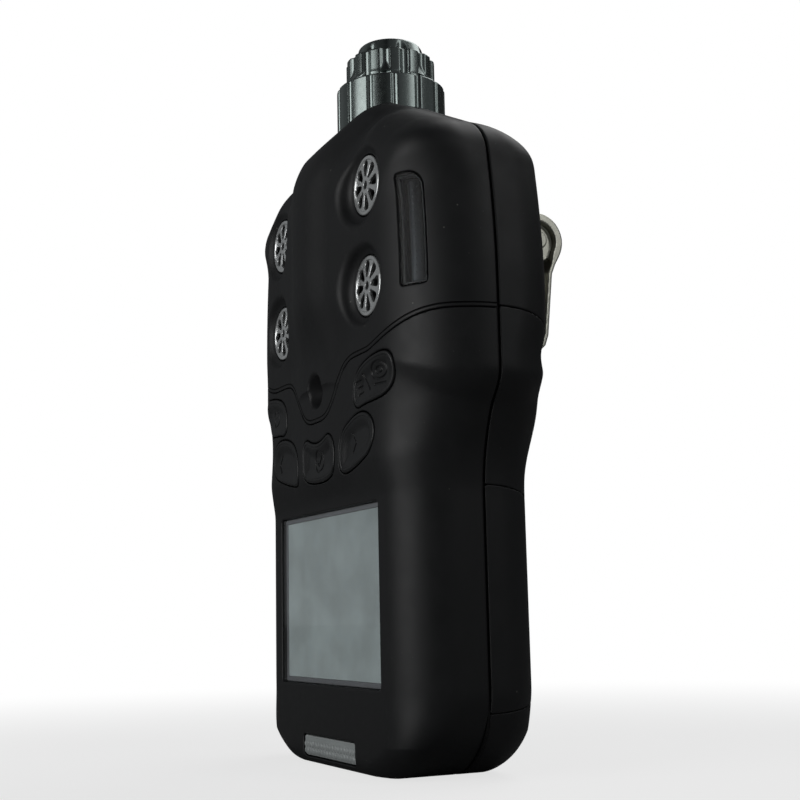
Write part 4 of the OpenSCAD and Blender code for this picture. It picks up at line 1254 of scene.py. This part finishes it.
def tube(name, path, radius, sides=12):
    path = np.array(path, float)
    last = len(path) - 1
    along = np.zeros_like(path)
    along[1:-1] = path[2:] - path[:-2]
    along[0], along[-1] = path[1] - path[0], path[-1] - path[-2]
    along /= np.linalg.norm(along, axis=1)[:, None]
    reference = np.array([0.93, 0.28, 0.24])
    points = []
    for centre, way in zip(path, along):
        u = np.cross(way, reference)
        u /= np.linalg.norm(u)
        v = np.cross(way, u)
        for k in range(sides):
            a = 2 * np.pi * k / sides
            points.append(centre + radius * (u * math.cos(a) + v * math.sin(a)))
    tip = last * sides
    start = tip + sides
    steps = [(k, (k + 1) % sides) for k in range(sides)]
    quads = [[i * sides + k, (i + 1) * sides + k, (i + 1) * sides + n, i * sides + n]
             for i in range(last) for k, n in steps]
    points += [path[0] - along[0] * radius * 0.5, path[-1] + along[-1] * radius * 0.5]
    ends = [[n, start, k] for k, n in steps] + [[tip + k, start + 1, tip + n] for k, n in steps]
    return add_mesh(name, np.array(points), np.array(quads), np.array(ends))


def coil_path():
    """A coil round the pin, with a straight leg at each end."""
    turns, steps, radius, half = 9, 24, 2.3, 4.6
    path = [(-half, PAD_Y + 1.75, 104.5)]
    for i in range(turns * steps + 1):
        t = math.radians(180 + i * 15)
        path.append((-half + 9.2 * i / (turns * steps), PIN_Y + radius * math.cos(t),
                     PIN_Z + radius * math.sin(t)))
    return path + [(half, PIN_Y + 0.9, 104.6)]


put(solid("clip_lever_sheet", clip_lever, (-14.8, 20.8, 77.2), (14.8, 36.6, 119.6), LEVER_CELL,
          bends=(0.0003, 0.0009, 0.003)), "clip_lever", "clip_steel", STEEL, "clip_lever")
put(solid("clip_base_sheet", clip_base, (-14, PAD_Y - 0.1, 78.8), (14, 33.7, 119.2), BASE_CELL,
          bends=(0.0003, 0.0009, 0.003)), "case", "clip_steel", STEEL, "clip_base")
put(solid("clip_pin_rod", clip_pin, (-14.7, PIN_Y - 2.3, PIN_Z - 2.3),
          (14.7, PIN_Y + 2.3, PIN_Z + 2.3), 0.2, bends=(0.0009, 0.003)),
    "case", "clip_steel", STEEL, "clip_pin")
put(tube("clip_coil", coil_path(), 0.4), "case", "clip_steel", STEEL, "clip_spring")


# ------------------------------------------------------------ contacts and plain pieces
def contacts(x, y, z):
    radius = length(np.abs(x) - CONTACT_X, z - CONTACT_Z)
    pads = round_max(radius - 1.98, both(y - 12.9, 9 - y), 0.25)
    return carve(pads, np.sqrt(radius * radius + (y - 14.4) ** 2) - 1.75, 0.2)


put(solid("charge_pads", contacts, (-10.2, 8.9, 6.8), (10.2, 13.1, 11.2), 0.22,
          bends=(0.0009, 0.003)), "case", "contact_gold", GOLD, "charging_contacts")

for name in ("clip_screws", "case_screws", "battery_screws"):
    dress(NODES[name], SCREW)
for name in ("case_seal", "torch_seal", "buzzer_mesh", "gasket_top_right", "gasket_top_left",
             "gasket_bottom_right", "gasket_bottom_left"):
    dress(NODES[name], SEAL)


# ------------------------------------------------------------ floor, light, camera (metres)
def floor_material():
    """Seen directly, the floor fades to white away from the object; it reflects as grey."""
    material = bpy.data.materials.new("pale_floor")
    shader = Shader(material)
    matte = shader.out("BsdfPrincipled", {"Base Color": (0.92, 0.92, 0.92), "Roughness": 0.9,
                                          "Specular IOR Level": 0.1})
    away = shader.node("VectorMath", {0: shader.coords()}, operation="LENGTH").outputs["Value"]
    fade = shader.remap(away, span=(0.08, 0.36), to=(0.72, 1.0), smooth=True)
    white = shader.out("Emission", {0: (1, 1, 1), 1: 1.0})
    grey = shader.out("BsdfDiffuse", {0: (0.25, 0.25, 0.25)})
    seen = shader.node("LightPath").outputs["Is Camera Ray"]
    surface = shader.blend(seen, grey, shader.blend(fade, matte, white))
    shader.node("OutputMaterial", {0: surface})
    return material


def add_floor(half=6.0, z=-0.0002):
    mesh = bpy.data.meshes.new("floor")
    corners = [(-half, -half, z), (half, -half, z), (half, half, z), (-half, half, z)]
    mesh.from_pydata(corners, [], [(0, 1, 2, 3)])
    floor = add_object("floor", mesh)
    mesh.materials.append(floor_material())


def add_world():
    """White to the camera; to the object, dim with soft upright bands to reflect."""
    world = bpy.data.worlds.new("studio")
    bpy.context.scene.world = world
    shader = Shader(world)
    calc = shader.calc
    way = shader.xyz(shader.node("TexCoord").outputs["Generated"])
    level = shader.remap(way[2], span=(-0.2, 1.0), to=(0.09, 0.08))
    azimuth = calc("ARCTAN2", way[1], way[0])
    bands = None
    for waves, phase, strength in ((2, 0.6, 0.45), (5, 2.1, 0.38), (11, 0.3, 0.32)):
        angle = calc("ADD", calc("MULTIPLY", azimuth, float(waves)), phase)
        wave = calc("MULTIPLY", calc("SINE", angle), strength)
        bands = wave if bands is None else calc("ADD", bands, wave)
    bands = calc("MAXIMUM", calc("ADD", bands, 0.95), 0.12)
    lit = shader.out("Background", {0: (0.95, 0.98, 1.0), 1: calc("MULTIPLY", level, bands)})
    white = shader.out("Background", {0: (1, 1, 1), 1: 1.0})
    seen = shader.node("LightPath").outputs["Is Camera Ray"]
    shader.node("OutputWorld", {0: shader.blend(seen, lit, white)})


def add_softbox(name, place, target, size, power):
    light = bpy.data.lights.new(name, "AREA")
    light.shape = "RECTANGLE"
    light.size, light.size_y = size
    light.energy = power
    softbox = add_object(name, light)
    softbox.location = place
    way = Vector(target) - Vector(place)
    softbox.rotation_euler = way.to_track_quat("-Z", "Y").to_euler()


def add_camera(place, yaw, pitch, roll, lens):
    """Yaw turns from +y towards +x; angles in radians, lens in mm."""
    data = bpy.data.cameras.new("camera")
    camera = add_object("camera", data)
    ahead = Vector((math.sin(yaw) * math.cos(pitch), math.cos(yaw) * math.cos(pitch),
                    math.sin(pitch)))
    level = ahead.cross(Vector((0, 0, 1))).normalized()
    upright = level.cross(ahead)
    right = math.cos(roll) * level + math.sin(roll) * upright
    up = -math.sin(roll) * level + math.cos(roll) * upright
    rows = [(right[i], up[i], -ahead[i], place[i]) for i in range(3)]
    camera.matrix_world = Matrix((*rows, (0, 0, 0, 1)))
    data.sensor_width = 36.0
    data.lens = lens
    data.clip_start = 0.005
    bpy.context.scene.camera = camera


add_floor()
add_world()
add_softbox("softbox_front", place=(0.12, -1.0, 0.12), target=(0, 0, 0.08),
            size=(0.75, 1.0), power=5.8)
add_softbox("softbox_back", place=(-0.3, 0.75, 1.15), target=(0, 0, 0.08),
            size=(0.9, 0.7), power=4.0)
add_softbox("softbox_right", place=(0.9, 0.45, 0.75), target=(0, 0, 0.09),
            size=(0.4, 0.8), power=1.5)
add_camera(place=(0.254276, -0.121496, 0.030097), yaw=-1.11928213, pitch=0.166326555,
           roll=-0.0210733183, lens=58.50225)
bpy.context.scene.view_settings.view_transform = "Standard"
